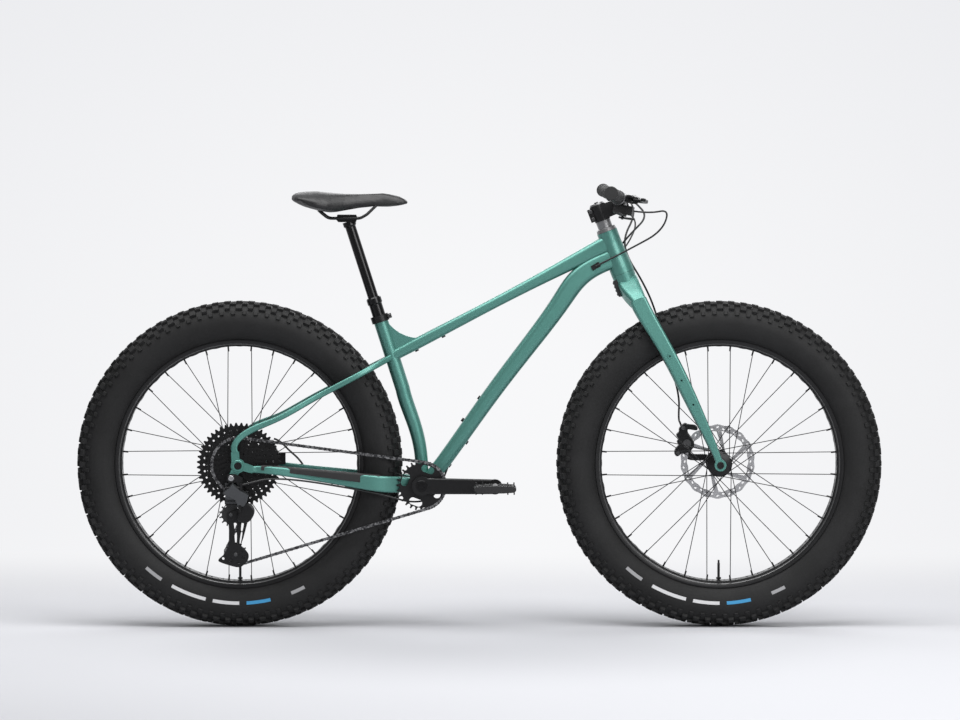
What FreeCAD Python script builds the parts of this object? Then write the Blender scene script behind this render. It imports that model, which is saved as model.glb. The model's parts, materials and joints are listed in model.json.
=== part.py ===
import FreeCAD, Part
import math
import os
import Sketcher
from FreeCAD import Placement, Rotation, Vector

os.makedirs("parts", exist_ok=True)
doc = FreeCAD.newDocument("fat_tire_bike")
sheet = doc.addObject("Spreadsheet::Sheet", "Sizes")

# Driving sizes, in millimetres and degrees
SIZES = {
    "wheelbase": 1150, "tyre_radius": 391, "tyre_width": 114, "tread_depth": 6, "lug_count": 42,
    "rim_width": 80, "rim_radius": 298, "rim_inner": 282, "spoke_count": 32, "spoke_radius": 1,
    "rear_spacing": 197, "front_spacing": 150, "rear_axle_radius": 6, "front_axle_radius": 7.5,
    "flange_radius": 30, "front_rotor_radius": 90, "rear_rotor_radius": 80, "rotor_thickness": 1.8,
    "chainstay_length": 440, "bb_drop": 50, "bb_shell_width": 121, "bb_shell_radius": 27, "bb_bore": 20.5,
    "head_angle": 69, "fork_offset": 52, "fork_length": 509, "head_length": 107, "head_radius": 28,
    "seat_angle": 72.2, "seat_axis_ahead": 27, "seat_tube_length": 425, "seat_tube_radius": 17.5,
    "top_tube_low": 322, "top_tube_high": 80, "down_tube_high": 43, "bend_back": 107, "bend_drop": 73,
    "tube_wall": 2, "post_radius": 15.8, "stanchion_radius": 12.7, "stanchion_shown": 177,
    "stem_length": 51, "stem_height": 40, "spacer_stack": 28, "bar_width": 750, "bar_radius": 15.9,
    "grip_seat": 11.1, "bar_rise": 15, "bar_back": 9, "bar_up": 5, "control_droop": 10,
    "grip_length": 130, "chain_pitch": 12.7, "ring_teeth": 28, "pulley_teeth": 13, "chain_plane": 66,
    "sprocket_step": 3.95, "crank_length": 175, "spindle_radius": 15, "pedal_length": 100,
    "pedal_width": 96, "pedal_depth": 24, "knuckle_ahead": 13, "knuckle_drop": 114,
    "saddle_length": 280, "saddle_width": 138,
}
SPROCKETS = (11, 13, 15, 18, 21, 24, 28, 32, 39, 48)
CHAIN_SPROCKET = 7

for row, (alias, number) in enumerate(SIZES.items(), start=1):
    sheet.set(f"A{row}", alias.replace("_", " "))
    sheet.set(f"B{row}", str(number))
    sheet.setAlias(f"B{row}", alias)
doc.recompute()


class Dim:
    """A number together with the sheet formula that gives it."""

    def __init__(self, value, text, driven=True):
        self.value = float(value)
        self.text = text
        self.driven = driven

    def join(self, other, value, sign):
        return Dim(value, f"({self.text} {sign} {other.text})", self.driven or other.driven)

    def __add__(self, other):
        other = dim(other)
        return self.join(other, self.value + other.value, "+")

    def __sub__(self, other):
        other = dim(other)
        return self.join(other, self.value - other.value, "-")

    def __mul__(self, other):
        other = dim(other)
        return self.join(other, self.value * other.value, "*")

    def __truediv__(self, other):
        other = dim(other)
        return self.join(other, self.value / other.value, "/")

    def __neg__(self):
        return Dim(-self.value, f"(-1 * {self.text})", self.driven)

    def __radd__(self, other):
        return dim(other) + self

    def __rsub__(self, other):
        return dim(other) - self

    def __rmul__(self, other):
        return dim(other) * self

    def __rtruediv__(self, other):
        return dim(other) / self


def dim(number):
    if isinstance(number, Dim):
        return number
    return Dim(number, f"({float(number):.5f})", driven=False)


def cos_of(angle):
    return Dim(math.cos(math.radians(angle.value)), f"cos({angle.text})")


def sin_of(angle):
    return Dim(math.sin(math.radians(angle.value)), f"sin({angle.text})")


def root_of(square):
    return Dim(math.sqrt(square.value), f"sqrt({square.text})")


class Sizes:
    def __getattr__(self, alias):
        return Dim(sheet.get(alias), f"Sizes.{alias}")


size = Sizes()


class Spot:
    """A place and direction, as a value and as the sheet formula that gives it."""

    def __init__(self, value, text):
        self.value = value
        self.text = text

    def then(self, x=0, y=0, z=0, turns=()):
        inner = spot(x, y, z, turns)
        return Spot(self.value.multiply(inner.value), f"{self.text} * {inner.text}")

    def give(self, target):
        target.setExpression("Placement", self.text)

    def point(self, x, y, z):
        return self.value.multVec(Vector(x, y, z))


def spot(x=0, y=0, z=0, turns=()):
    x, y, z = dim(x), dim(y), dim(z)
    turned_value = Rotation()
    texts = []
    for axis, angle in turns:
        angle = dim(angle)
        turned_value = turned_value.multiply(Rotation(Vector(*axis), angle.value))
        texts.append(f"rotation(vector({axis[0]}; {axis[1]}; {axis[2]}); {angle.text})")
    turn_text = " * ".join(texts) or "rotation(vector(0; 0; 1); 0)"
    value = Placement(Vector(x.value, y.value, z.value), turned_value)
    return Spot(value, f"placement(vector({x.text}; {y.text}; {z.text}); {turn_text})")


ALONG_X = (1, 0, 0)
ALONG_Y = (0, 1, 0)
ALONG_Z = (0, 0, 1)
TO_X = ((1, 1, 1), 120)

# Where the main points of the bike lie
rear_x = -size.wheelbase / 2
front_x = size.wheelbase / 2
axle_z = size.tyre_radius
bb_x = rear_x + root_of(size.chainstay_length * size.chainstay_length - size.bb_drop * size.bb_drop)
bb_z = axle_z - size.bb_drop
head_x = front_x - size.fork_length * cos_of(size.head_angle) - size.fork_offset * sin_of(size.head_angle)
head_z = axle_z + size.fork_length * sin_of(size.head_angle) - size.fork_offset * cos_of(size.head_angle)
seat_x = bb_x + size.seat_axis_ahead

rear_axle_spot = spot(rear_x, 0, axle_z)
front_axle_spot = spot(front_x, 0, axle_z)
bb_spot = spot(bb_x, 0, bb_z)
steer = spot(head_x, 0, head_z, [(ALONG_Y, size.head_angle - 90)])
post = spot(seat_x, 0, bb_z, [(ALONG_Y, size.seat_angle - 90)])

half_tyre = size.tyre_width / 2
nodes = []
counter = {}


def named(kind, label):
    counter[label] = counter.get(label, 0) + 1
    made = doc.addObject(kind, f"{label}_{counter[label]}")
    made.Label = made.Name
    return made


def keep(label, *pieces):
    """One file and one node: a single piece, or a group of separate pieces."""
    piece = pieces[0]
    if len(pieces) > 1:
        piece = named("Part::Compound", label)
        piece.Links = list(pieces)
    piece.Label = label
    nodes.append(piece)
    return piece


# Sketch helpers
def hold(sketch, kind, value, *where):
    value = dim(value)
    number = sketch.addConstraint(Sketcher.Constraint(kind, *where, value.value))
    if value.driven:
        sketch.setExpression(f"Constraints[{number}]", value.text)


def arc_between(start, end, radius):
    """Arc from start to end; a positive radius bulges to the right of the travel."""
    run = end - start
    half = run.Length / 2
    reach = math.sqrt(max(radius * radius - half * half, 0))
    left = Vector(-run.y, run.x, 0).normalize()
    side = 1 if radius > 0 else -1
    centre = (start + end) / 2 + left * (reach * side)
    first, last = (start, end) if side > 0 else (end, start)
    first_angle = math.atan2(first.y - centre.y, first.x - centre.x)
    last_angle = math.atan2(last.y - centre.y, last.x - centre.x)
    circle = Part.Circle(centre, Vector(0, 0, 1), abs(radius))
    return Part.ArcOfCircle(circle, first_angle, last_angle), (1, 2) if side > 0 else (2, 1)


def outline(sketch, corners):
    """Closed outline; a third number in a corner is the radius of the arc to the next corner."""
    first = sketch.GeometryCount
    ends = []
    total = len(corners)
    for place, corner in enumerate(corners):
        following = corners[(place + 1) % total]
        start = Vector(dim(corner[0]).value, dim(corner[1]).value, 0)
        end = Vector(dim(following[0]).value, dim(following[1]).value, 0)
        if len(corner) == 3:
            shape, pair = arc_between(start, end, dim(corner[2]).value)
        else:
            shape, pair = Part.LineSegment(start, end), (1, 2)
        sketch.addGeometry(shape)
        ends.append(pair)
    for place in range(total):
        after = (place + 1) % total
        sketch.addConstraint(Sketcher.Constraint(
            "Coincident", first + place, ends[place][1], first + after, ends[after][0]))
    for place, corner in enumerate(corners):
        hold(sketch, "DistanceX", corner[0], -1, 1, first + place, ends[place][0])
        hold(sketch, "DistanceY", corner[1], -1, 1, first + place, ends[place][0])
        if len(corner) == 3:
            radius = dim(corner[2])
            hold(sketch, "Radius", radius if radius.value > 0 else -radius, first + place)


def circle(sketch, x, y, radius):
    number = sketch.addGeometry(Part.Circle(
        Vector(dim(x).value, dim(y).value, 0), Vector(0, 0, 1), dim(radius).value))
    hold(sketch, "DistanceX", x, -1, 1, number, 3)
    hold(sketch, "DistanceY", y, -1, 1, number, 3)
    hold(sketch, "Radius", radius, number)


# Solid helpers
def new_body(label, at=None):
    body = named("PartDesign::Body", label)
    if at is not None:
        at.give(body)
    return body


def origin_of(body, role):
    return next(item for item in body.Origin.OriginFeatures if item.Role == role)


def sketch_on(body, plane, offset=0, turn=0):
    counter["sketch"] = counter.get("sketch", 0) + 1
    sketch = body.newObject("Sketcher::SketchObject", f"sketch_{counter['sketch']}")
    sketch.AttachmentSupport = [(origin_of(body, plane), "")]
    sketch.MapMode = "FlatFace"
    sketch.setExpression("AttachmentOffset", spot(0, 0, offset, [(ALONG_Z, turn)]).text)
    return sketch


def extrude(body, kind, sketch, length, both=True, back=False):
    counter["feature"] = counter.get("feature", 0) + 1
    feature = body.newObject(f"PartDesign::{kind}", f"feature_{counter['feature']}")
    feature.Profile = sketch
    feature.SideType = "Symmetric" if both else "One side"
    feature.Reversed = back
    feature.setExpression("Length", dim(length).text)
    sketch.Visibility = False
    return feature


def around(body, feature, count, axis="Y_Axis"):
    doc.recompute()
    counter["pattern"] = counter.get("pattern", 0) + 1
    pattern = body.newObject("PartDesign::PolarPattern", f"pattern_{counter['pattern']}")
    pattern.Originals = [feature]
    pattern.Axis = (origin_of(body, axis), [""])
    pattern.Angle = 360
    if isinstance(count, Dim):
        pattern.setExpression("Occurrences", count.text)
    else:
        pattern.Occurrences = count
    body.Tip = pattern
    return pattern


def plate(label, at, middle, thickness, corners, holes=(), windows=()):
    """A flat piece in the side view, its middle at the given distance to the right side."""
    body = new_body(label, at)
    sketch = sketch_on(body, "XZ_Plane", middle)
    if len(corners) == 1:
        circle(sketch, *corners[0])
    else:
        outline(sketch, corners)
    for hole in holes:
        circle(sketch, *hole)
    for window in windows:
        outline(sketch, window)
    extrude(body, "Pad", sketch, thickness)
    return body


def turned(label, at, profile, about="Y"):
    """A turned piece: profile of radius and position along the axis."""
    body = new_body(label, at)
    sketch = sketch_on(body, "XY_Plane" if about == "Y" else "XZ_Plane")
    outline(sketch, profile)
    counter["feature"] = counter.get("feature", 0) + 1
    spun = body.newObject("PartDesign::Revolution", f"feature_{counter['feature']}")
    spun.Profile = sketch
    spun.ReferenceAxis = (sketch, ["V_Axis"])
    spun.Angle = 360
    sketch.Visibility = False
    return body


def ring(inner, outer, low, high):
    return [(inner, low), (outer, low), (outer, high), (inner, high)]


def cylinder(label, at, radius, length):
    made = named("Part::Cylinder", label)
    made.setExpression("Radius", dim(radius).text)
    made.setExpression("Height", dim(length).text)
    at.give(made)
    return made


def box(label, at, x, y, z):
    """Box between two positions along each direction of the place."""
    made = named("Part::Box", label)
    for name, (low, high) in (("Length", x), ("Width", y), ("Height", z)):
        made.setExpression(name, (dim(high) - dim(low)).text)
    at.then(x[0], y[0], z[0]).give(made)
    return made


def cut(label, base, *tools):
    for tool in tools:
        made = named("Part::Cut", label)
        made.Base = base
        made.Tool = tool
        base = made
    return base


def fuse(label, *pieces):
    made = named("Part::MultiFuse", label)
    made.Shapes = list(pieces)
    made.Refine = True
    return made


def mirrored(label, source, normal=ALONG_Y):
    made = named("Part::Mirroring", label)
    made.Source = source
    made.Normal = Vector(*normal)
    return made


def section(label, at, half_a, half_b, corner):
    """A rounded rectangle across a tube."""
    a, b, c = dim(half_a), dim(half_b), dim(corner)
    sketch = named("Sketcher::SketchObject", label)
    at.give(sketch)
    outline(sketch, [
        (c - a, -b), (a - c, -b, c), (a, c - b), (a, b - c, c),
        (a - c, b), (c - a, b, c), (-a, b - c), (-a, c - b, c),
    ])
    return sketch


def round_section(label, at, radius):
    sketch = named("Sketcher::SketchObject", label)
    at.give(sketch)
    circle(sketch, 0, 0, radius)
    return sketch


def loft(label, sections):
    made = named("Part::Loft", label)
    made.Sections = sections
    made.Solid = True
    return made


def side_spot(x, y, z, tilt):
    """A plane across a tube that runs in the side view at the given slope."""
    return spot(x, y, z, [(ALONG_Y, -dim(tilt)), TO_X])


def tube(label, stations, wall=None):
    """Outer loft and, with a wall, the inner loft of a frame tube."""
    outer = loft(label, [section(label, at, a, b, c) for at, a, b, c in stations])
    if wall is None:
        return outer, None
    inner = loft(label, [section(label, at, dim(a) - wall, dim(b) - wall, dim(c) - wall)
                         for at, a, b, c in stations])
    return outer, inner


def made_shape(label, shape):
    made = named("Part::Feature", label)
    made.Shape = shape
    return made


def rounded_path(points, bend):
    """Straight runs joined by tangent arcs as large as the runs allow, up to the wanted bend."""
    edges = []
    start = points[0]
    for place in range(1, len(points) - 1):
        corner = points[place]
        into = corner - points[place - 1]
        out = points[place + 1] - corner
        turn = into.getAngle(out)
        room = 0.45 * min(into.Length, out.Length)
        radius = min(bend, room / math.tan(turn / 2))
        back = radius * math.tan(turn / 2)
        into.normalize()
        out.normalize()
        first = corner - into * back
        last = corner + out * back
        inward = (out - into).normalize()
        middle = corner + inward * (radius / math.cos(turn / 2) - radius)
        edges.append(Part.LineSegment(start, first).toShape())
        edges.append(Part.Arc(first, middle, last).toShape())
        start = last
    edges.append(Part.LineSegment(start, points[-1]).toShape())
    return Part.Wire(edges)


def cable(label, points, radius, bend):
    path = rounded_path(points, bend)
    start = points[0]
    across = Part.Wire(Part.makeCircle(radius, start, points[1] - start))
    shape = path.makePipeShell([across], True, True)
    print(label, "length", round(path.Length, 1), "volume ratio",
          round(shape.Volume / (math.pi * radius ** 2 * path.Length), 4))
    return made_shape(label, shape)


# Head tube, bearings and the leaning parts of the frame
def make_head_tube():
    high = size.head_length
    wide = size.head_radius
    tube_body = turned("head_tube", steer, [
        (wide - 2.1, 0), (wide, 0), (wide, 14), (wide - 3.5, high * 0.72), (wide - 3, high),
        (wide - 6.5, high), (wide - 6.5, high - 10), (wide - 7, high - 10), (wide - 7, 12), (wide - 2.1, 12),
    ], "Z")
    return keep("head_tube", tube_body)


def make_bearings():
    high = size.head_length
    wide = size.head_radius
    lower = turned("bearing", steer, ring(19.05, wide - 2.12, 0.2, 11.98), "Z")
    upper = turned("bearing", steer, ring(14.35, wide - 6.52, high - 9.98, high - 0.2), "Z")
    shell = size.bb_shell_width / 2
    bore = size.bb_bore - 0.02
    cup = turned("bearing", bb_spot, [
        (size.spindle_radius + 0.06, shell - 13), (bore, shell - 13), (bore, shell + 0.02),
        (23.5, shell + 0.02), (23.5, shell + 3), (size.spindle_radius + 0.06, shell + 3),
    ])
    return keep("frame_bearings", lower, upper, cup, mirrored("bearing", cup))


seat_foot = size.seat_tube_length * 0.565
seat_lean = 90 - size.seat_angle
head_bore = turned("head_space", steer, [
    (0, -20), (size.head_radius, -20), (size.head_radius, 14),
    (size.head_radius - 3.5, size.head_length * 0.72), (size.head_radius - 3, size.head_length),
    (size.head_radius - 3, size.head_length + 40), (0, size.head_length + 40)], "Z")
bb_space = cylinder("shell_space", spot(bb_x, 100, bb_z, [(ALONG_X, 90)]), size.bb_shell_radius, 200)


def seat_spot(along, ahead=0, side=0):
    return post.then(ahead, side, along)


def seat_point(along, ahead=0):
    """Side-view position of a point of the seat tube's line."""
    across = cos_of(size.seat_angle)
    up = sin_of(size.seat_angle)
    return seat_x - across * along + up * ahead, bb_z + up * along + across * ahead


def head_point(along, ahead=0):
    across = cos_of(size.head_angle)
    up = sin_of(size.head_angle)
    return head_x - across * along + up * ahead, head_z + up * along + across * ahead


def seat_tube_solid(label, wide, narrow, top):
    """Straight upper tube and the bent lower end that comes down on the bottom bracket."""
    foot_x, foot_z = seat_point(seat_foot)
    fall = foot_z - bb_z
    straight = cylinder(label, seat_spot(seat_foot), wide, dim(top) - seat_foot)
    stations = [
        (foot_x, foot_z, 90 + seat_lean, wide),
        (foot_x + (bb_x - foot_x) * 0.42, foot_z - fall * 0.27, 90 + seat_lean, wide - 0.5),
        (foot_x + (bb_x - foot_x) * 0.8, foot_z - fall * 0.52, 102, narrow + 0.5),
        (bb_x - 1, foot_z - fall * 0.78, 93, narrow),
        (bb_x, bb_z, 90, narrow),
    ]
    bent = loft(label, [round_section(label, side_spot(x, 0, z, tilt), r) for x, z, tilt, r in stations])
    return fuse(label, straight, bent)


seat_outer = seat_tube_solid("seat_outer", size.seat_tube_radius, dim(15.5), size.seat_tube_length)


def make_seat_tube():
    wall = size.tube_wall
    inner = seat_tube_solid("seat_inner", size.seat_tube_radius - wall - 0.5, dim(15.5) - wall,
                            size.seat_tube_length - 30)
    bore = cylinder("seat_bore", seat_spot(seat_foot + 2), size.post_radius + 0.02, size.seat_tube_length)
    return keep("seat_tube", cut("seat_tube", seat_outer, bb_space, inner, bore))


top_low_x, top_low_z = seat_point(size.top_tube_low)
top_high_x, top_high_z = head_point(size.top_tube_high)
TOP_SLOPE = 27.5


def top_point(share):
    return top_low_x + (top_high_x - top_low_x) * share, top_low_z + (top_high_z - top_low_z) * share


def top_stations():
    for share, wide, tall, corner in ((0, 17, 12.5, 10), (0.35, 17, 12.5, 10), (0.72, 18, 15, 11),
                                      (0.9, 19, 19, 12), (1, 20, 21, 12)):
        x, z = top_point(share)
        yield side_spot(x, 0, z, TOP_SLOPE), wide, tall, corner


top_outer, top_inner = tube("top_tube", list(top_stations()), size.tube_wall)


def make_top_tube():
    hollow = cut("top_tube", top_outer, top_inner, head_bore, seat_outer)
    high_x, high_z = seat_point(size.seat_tube_length - 18, 14)
    low_x, low_z = top_point(0.115)
    corner_x, corner_z = seat_point(size.top_tube_low, 4)
    gusset = plate("gusset", None, 0, 20, [
        (corner_x, corner_z), (low_x, low_z + 4), (low_x - 4, low_z + 13, -95), (high_x, high_z),
    ])
    return keep("top_tube", hollow, cut("gusset", gusset, seat_outer, top_outer))


down_end_x, down_end_z = head_point(size.down_tube_high)
down_bend_x, down_bend_z = down_end_x - size.bend_back, down_end_z - size.bend_drop
down_foot_x, down_foot_z = bb_x + 4, bb_z - 6
DOWN_SLOPE = 53.5


def down_point(share):
    return (down_foot_x + (down_bend_x - down_foot_x) * share,
            down_foot_z + (down_bend_z - down_foot_z) * share)


def down_stations():
    for share, wide, tall in ((0, 25, 18), (0.35, 25, 18.5), (0.65, 24.5, 20), (0.94, 24, 23)):
        x, z = down_point(share)
        yield side_spot(x, 0, z, DOWN_SLOPE), wide, tall, 14
    yield side_spot(down_bend_x + 29, 0, down_bend_z + 32, 42), 23, 23.5, 13
    yield side_spot(down_bend_x + 62, 0, down_bend_z + 52, 29), 22, 23, 12
    yield side_spot(down_end_x, 0, down_end_z, 27), 21, 22, 12


down_outer, down_inner = tube("down_tube", list(down_stations()), size.tube_wall)


def make_down_tube():
    hollow = cut("down_tube", down_outer, down_inner, top_outer, head_bore, bb_space, seat_outer)
    return keep("down_tube", hollow)


def make_bb_shell():
    half = size.bb_shell_width / 2
    shell = turned("bb_shell", bb_spot, ring(size.bb_bore, size.bb_shell_radius, -half, half))
    return keep("bottom_bracket_shell", shell)


# Rear stays, built on the right side and mirrored
rear_face = size.rear_spacing / 2


def stay_x(share):
    return rear_x + (bb_x - rear_x) * share


def chainstay_stations():
    clear = half_tyre + 6
    for share, side, lift, wide, tall, corner in (
            (0.08, rear_face + 2.5, -5, 4.5, 8, 3.5), (0.126, rear_face - 0.5, -3, 5.5, 9, 4),
            (0.313, rear_face - 14.5, -3, 8, 11.5, 5), (0.629, clear + 11, -5.5, 8, 17, 5),
            (0.805, clear + 7.5, -6, 7, 19.5, 5), (0.88, clear - 10, -4, 6.5, 19, 5),
            (0.938, clear - 20, -2, 9, 17, 5), (1, clear - 24, 0, 9, 15, 5)):
        z = axle_z - size.bb_drop * share + lift
        yield side_spot(stay_x(share), -dim(side), z, -6.5), wide, tall, corner


def seatstay_stations():
    top_x, top_z = seat_point(size.top_tube_low)
    foot_x, foot_z = rear_x + 5, axle_z + 66
    clear = half_tyre + 5
    yield side_spot(rear_x - 7, -(rear_face + 3), axle_z + 33, 95), 4.5, 8, 3.5
    yield side_spot(rear_x - 9, -(rear_face + 2), axle_z + 44, 78), 5.5, 8, 4
    yield side_spot(foot_x - 3, -(rear_face - 1), foot_z - 2, 42), 6, 7.5, 4.5
    for share, side in ((0.2, rear_face - 10), (0.45, clear + 14), (0.74, clear + 7),
                        (0.855, clear - 4), (0.93, clear - 25), (0.995, dim(12))):
        yield side_spot(foot_x + (top_x - foot_x) * share, -dim(side),
                        foot_z + (top_z - foot_z) * share, 28.3), 6.5, 7, 5


chainstay_outer, chainstay_inner = tube("chainstay", list(chainstay_stations()), size.tube_wall * 0.8)
seatstay_outer, seatstay_inner = tube("seatstay", list(seatstay_stations()), size.tube_wall * 0.8)


HANGER = (-16, -29.5)


def dropout_body(label, with_hanger):
    bore = size.rear_axle_radius + 0.02
    body = plate(label, rear_axle_spot, rear_face + 3.5, 7, [(0, 0, 17)], [(0, 0, bore)])
    low_x, low_z = stay_x(0.08) - rear_x, -size.bb_drop * 0.08 - 5
    arms = [
        [(11, -12), (low_x - 1.02, low_z - 8.95), (low_x + 1.02, low_z + 8.95), (12, 9)],
        [(-15, 6), (4, 16), (2.5, 33.8), (-16.5, 32.2)],
    ]
    for arm in arms:
        sketch = sketch_on(body, "XZ_Plane", rear_face + 3.5)
        outline(sketch, arm)
        extrude(body, "Pad", sketch, 7)
    if with_hanger:
        x, z = HANGER
        sketch = sketch_on(body, "XZ_Plane", rear_face)
        outline(sketch, [(x - 9, z, 9.1), (x + 9, z), (9, -11), (-14, -6)])
        extrude(body, "Pad", sketch, 5, both=False)
        sketch = sketch_on(body, "XZ_Plane", rear_face)
        circle(sketch, x, z, 5.02)
        extrude(body, "Pocket", sketch, 30)
    return body


def make_stays():
    """Stays end square on the arms of the dropout plates."""
    chainstay = cut("chainstay", chainstay_outer, chainstay_inner, bb_space, down_outer)
    keep("chainstays", chainstay, mirrored("chainstay", chainstay))
    seatstay = cut("seatstay", seatstay_outer, seatstay_inner, seat_outer)
    keep("seatstays", seatstay, mirrored("seatstay", seatstay))
    keep("dropouts", dropout_body("dropout", True), mirrored("dropout", dropout_body("dropout", False)))


def make_rear_axle():
    reach = rear_face + 7
    keep("rear_axle", turned("rear_axle", rear_axle_spot, [
        (0, -reach), (size.rear_axle_radius, -reach), (size.rear_axle_radius, reach + 0.1),
        (10, reach + 0.1), (9, reach + 5), (0, reach + 5)]))


def make_seat_collar():
    top = size.seat_tube_length
    out = size.seat_tube_radius
    body = turned("seat_collar", post, ring(out + 0.03, out + 4, top - 16, top + 0.5), "Z")
    ears = sketch_on(body, "XY_Plane", top - 8)
    outline(ears, [(out + 2, -9), (out + 11, -8), (out + 11, 8), (out + 2, 9)])
    extrude(body, "Pad", ears, 11)
    slit = sketch_on(body, "XY_Plane", top - 8)
    outline(slit, [(out - 3, -1), (out + 14, -1), (out + 14, 1), (out - 3, 1)])
    extrude(body, "Pocket", slit, 40)
    return keep("seat_collar", body)


# Dropper post and saddle
def make_post():
    top = size.seat_tube_length
    wide = size.post_radius
    thin = size.stanchion_radius
    keep("post_outer", turned("post_outer", post, [
        (thin + 0.8, seat_foot + 6), (wide, seat_foot + 6), (wide, top + 28), (wide + 2.2, top + 31),
        (wide + 2.2, top + 43), (wide, top + 46), (thin + 0.05, top + 46), (thin + 0.05, top + 28),
        (thin + 0.8, top + 28)], "Z"))
    bottom = top - 20
    head = top + 46 + size.stanchion_shown
    stanchion = turned("stanchion", post, [
        (thin - 2, bottom), (thin, bottom), (thin, head), (thin + 3, head + 4), (thin + 3, head + 14),
        (thin - 2, head + 14)], "Z")
    head_x, head_z = seat_point(head + 22)
    seat = spot(head_x, 0, head_z)
    cradle = plate("cradle", seat, 0, 44, [
        (-22, -9), (20, -9), (24, 2), (20, 9), (-24, 9), (-28, -2)])
    rails_space = [cylinder("rail_space", seat.then(-60, side, 0, [(ALONG_Y, 90)]), 3.62, 120)
                   for side in (-22, 22)]
    head_block = cut("cradle", cradle, *rails_space)
    keep("stanchion", fuse("stanchion", stanchion, head_block))
    return seat


def make_rails(seat, padding):
    wires = []
    for side in (-1, 1):
        points = [Vector(-84, side * 31, 34), Vector(-62, side * 24, 13), Vector(-46, side * 22, 0),
                  Vector(30, side * 22, 0), Vector(46, side * 20, 9), Vector(76, side * 10, 38)]
        world = [seat.point(p.x, p.y, p.z) for p in points]
        wires.append(cable("saddle_rail", world, 3.5, 24))
    keep("saddle_rails", *[cut("saddle_rail", wire, padding) for wire in wires])


def make_saddle(seat):
    half = size.saddle_width / 2
    tail = -size.saddle_length * 0.48
    stations = []
    for share, wide, low, high in (
            (0, 0.58, 43, 57), (0.05, 0.84, 37, 63), (0.12, 0.97, 29, 63), (0.22, 1.0, 19, 61),
            (0.31, 0.92, 15, 58), (0.43, 0.68, 20, 55), (0.56, 0.45, 27, 54), (0.69, 0.34, 31, 55),
            (0.82, 0.3, 30, 57), (0.93, 0.26, 31, 53), (0.99, 0.18, 35, 46)):
        middle = (low + high) / 2
        tall = (high - low) / 2
        stations.append((seat.then(tail + size.saddle_length * share, 0, middle, [TO_X]),
                         half * wide, tall, min(tall - 1, 12)))
    padding, _ = tube("saddle", stations)
    return keep("saddle", padding)


# Wheels
def tyre_profile():
    """Open casing with thick tread, from one bead over the crown to the other and back inside."""
    outer = size.tyre_radius
    rim = size.rim_radius
    seat = size.rim_width / 2 - 3.2
    wide = half_tyre
    outside = [
        (rim - 4.8, seat - 7), (rim - 4.8, seat), (rim + 0.5, seat), (rim + 6, seat + 7),
        (rim + 20, wide - 4), (rim + 38, wide), (rim + 54, wide), (outer - 22, wide - 5),
        (outer - 8, wide - 17), (outer, wide - 28),
    ]
    inside = [
        (outer - 10, wide - 30), (outer - 14, wide - 21), (outer - 25, wide - 9.5), (rim + 52, wide - 3.2),
        (rim + 38, wide - 3.2), (rim + 20, wide - 7.2), (rim + 8, seat + 3.5), (rim + 1, seat - 7),
    ]
    other_outside = [(radius, -side) for radius, side in reversed(outside)]
    other_inside = [(radius, -side) for radius, side in reversed(inside)]
    return outside + other_outside + other_inside + inside


def make_tyres():
    tyre = turned("front_tyre", front_axle_spot, tyre_profile())
    top = size.tyre_radius
    notch = sketch_on(tyre, "XZ_Plane", 0, 180 / size.lug_count)
    floor = top - size.tread_depth
    outline(notch, [(-11, floor), (11, floor), (12, top + 5), (-12, top + 5)])
    around(tyre, extrude(tyre, "Pocket", notch, size.tyre_width + 20), size.lug_count)
    keep("front_tyre", tyre)
    keep("rear_tyre", mirrored("rear_tyre", tyre, ALONG_X))


def make_rims():
    half = size.rim_width / 2
    low = size.rim_inner
    high = size.rim_radius
    right = [(low, 0), (low, half - 18), (high - 10, half - 12), (high - 8, half - 1), (high, half),
             (high, half - 3), (high - 5, half - 3), (high - 7, half - 11), (low + 3, half - 17)]
    left = [(r, -y) for r, y in reversed(right[1:])]
    rim = turned("front_rim", front_axle_spot, right[1:] + left)
    keep("front_rim", rim)
    keep("rear_rim", mirrored("rear_rim", rim, ALONG_X))


def spoke_shapes(middle, right_flange, left_flange):
    """Three-cross lacing: spokes lie beside the flanges and end under the rim."""
    count = int(round(size.spoke_count.value))
    circle_radius = size.flange_radius.value - 1.5
    thick = size.spoke_radius.value
    shapes = []
    for number in range(count):
        flange = right_flange if number % 2 == 0 else left_flange
        side = -1 if number % 2 == 0 else 1
        leading = 1 if (number // 2) % 2 == 0 else -1
        at_rim = 2 * math.pi * (number + 0.5) / count
        at_hub = at_rim + leading * 2 * math.pi * 6 / count
        beside = flange + side * (4.6 if leading > 0 else -3.9)
        start = Vector(circle_radius * math.cos(at_hub), beside, circle_radius * math.sin(at_hub))
        reach = size.rim_inner.value - 0.3
        end = Vector(reach * math.cos(at_rim), side * 8, reach * math.sin(at_rim))
        run = end - start
        spoke = Part.makeCylinder(thick, run.Length - 0.6, start + middle, run)
        shapes.append(spoke)
    return shapes


def make_spokes():
    for label, x, right, left in (("front_spokes", front_x, -46, 38), ("rear_spokes", rear_x, -48, 56)):
        middle = Vector(x.value, 0, axle_z.value)
        keep(label, made_shape(label, Part.makeCompound(spoke_shapes(middle, right, left))))


def hub_profile(bore, right_end, right, left, rotor_seat, left_end):
    flange = size.flange_radius
    return [
        (bore, right_end), (13, right_end), (13, right - 6), (18, right - 5), (flange, right - 1.5),
        (flange, right + 1.5), (18, right + 8), (15, right + 20), (15, left - 20), (18, left - 8),
        (flange, left - 1.5), (flange, left + 1.5), (20, left + 5), (20, rotor_seat), (13, rotor_seat),
        (13, left_end), (bore, left_end),
    ]


def make_hubs():
    reach = size.front_spacing / 2 - 0.4
    keep("front_hub", turned("front_hub", front_axle_spot, hub_profile(
        size.front_axle_radius + 0.08, -reach, dim(-46), dim(38), dim(58), reach)))
    back = rear_face - 0.4
    keep("rear_hub", turned("rear_hub", rear_axle_spot, hub_profile(
        size.rear_axle_radius + 0.08, dim(-54.6), dim(-48), dim(56), dim(76), back)))


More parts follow.
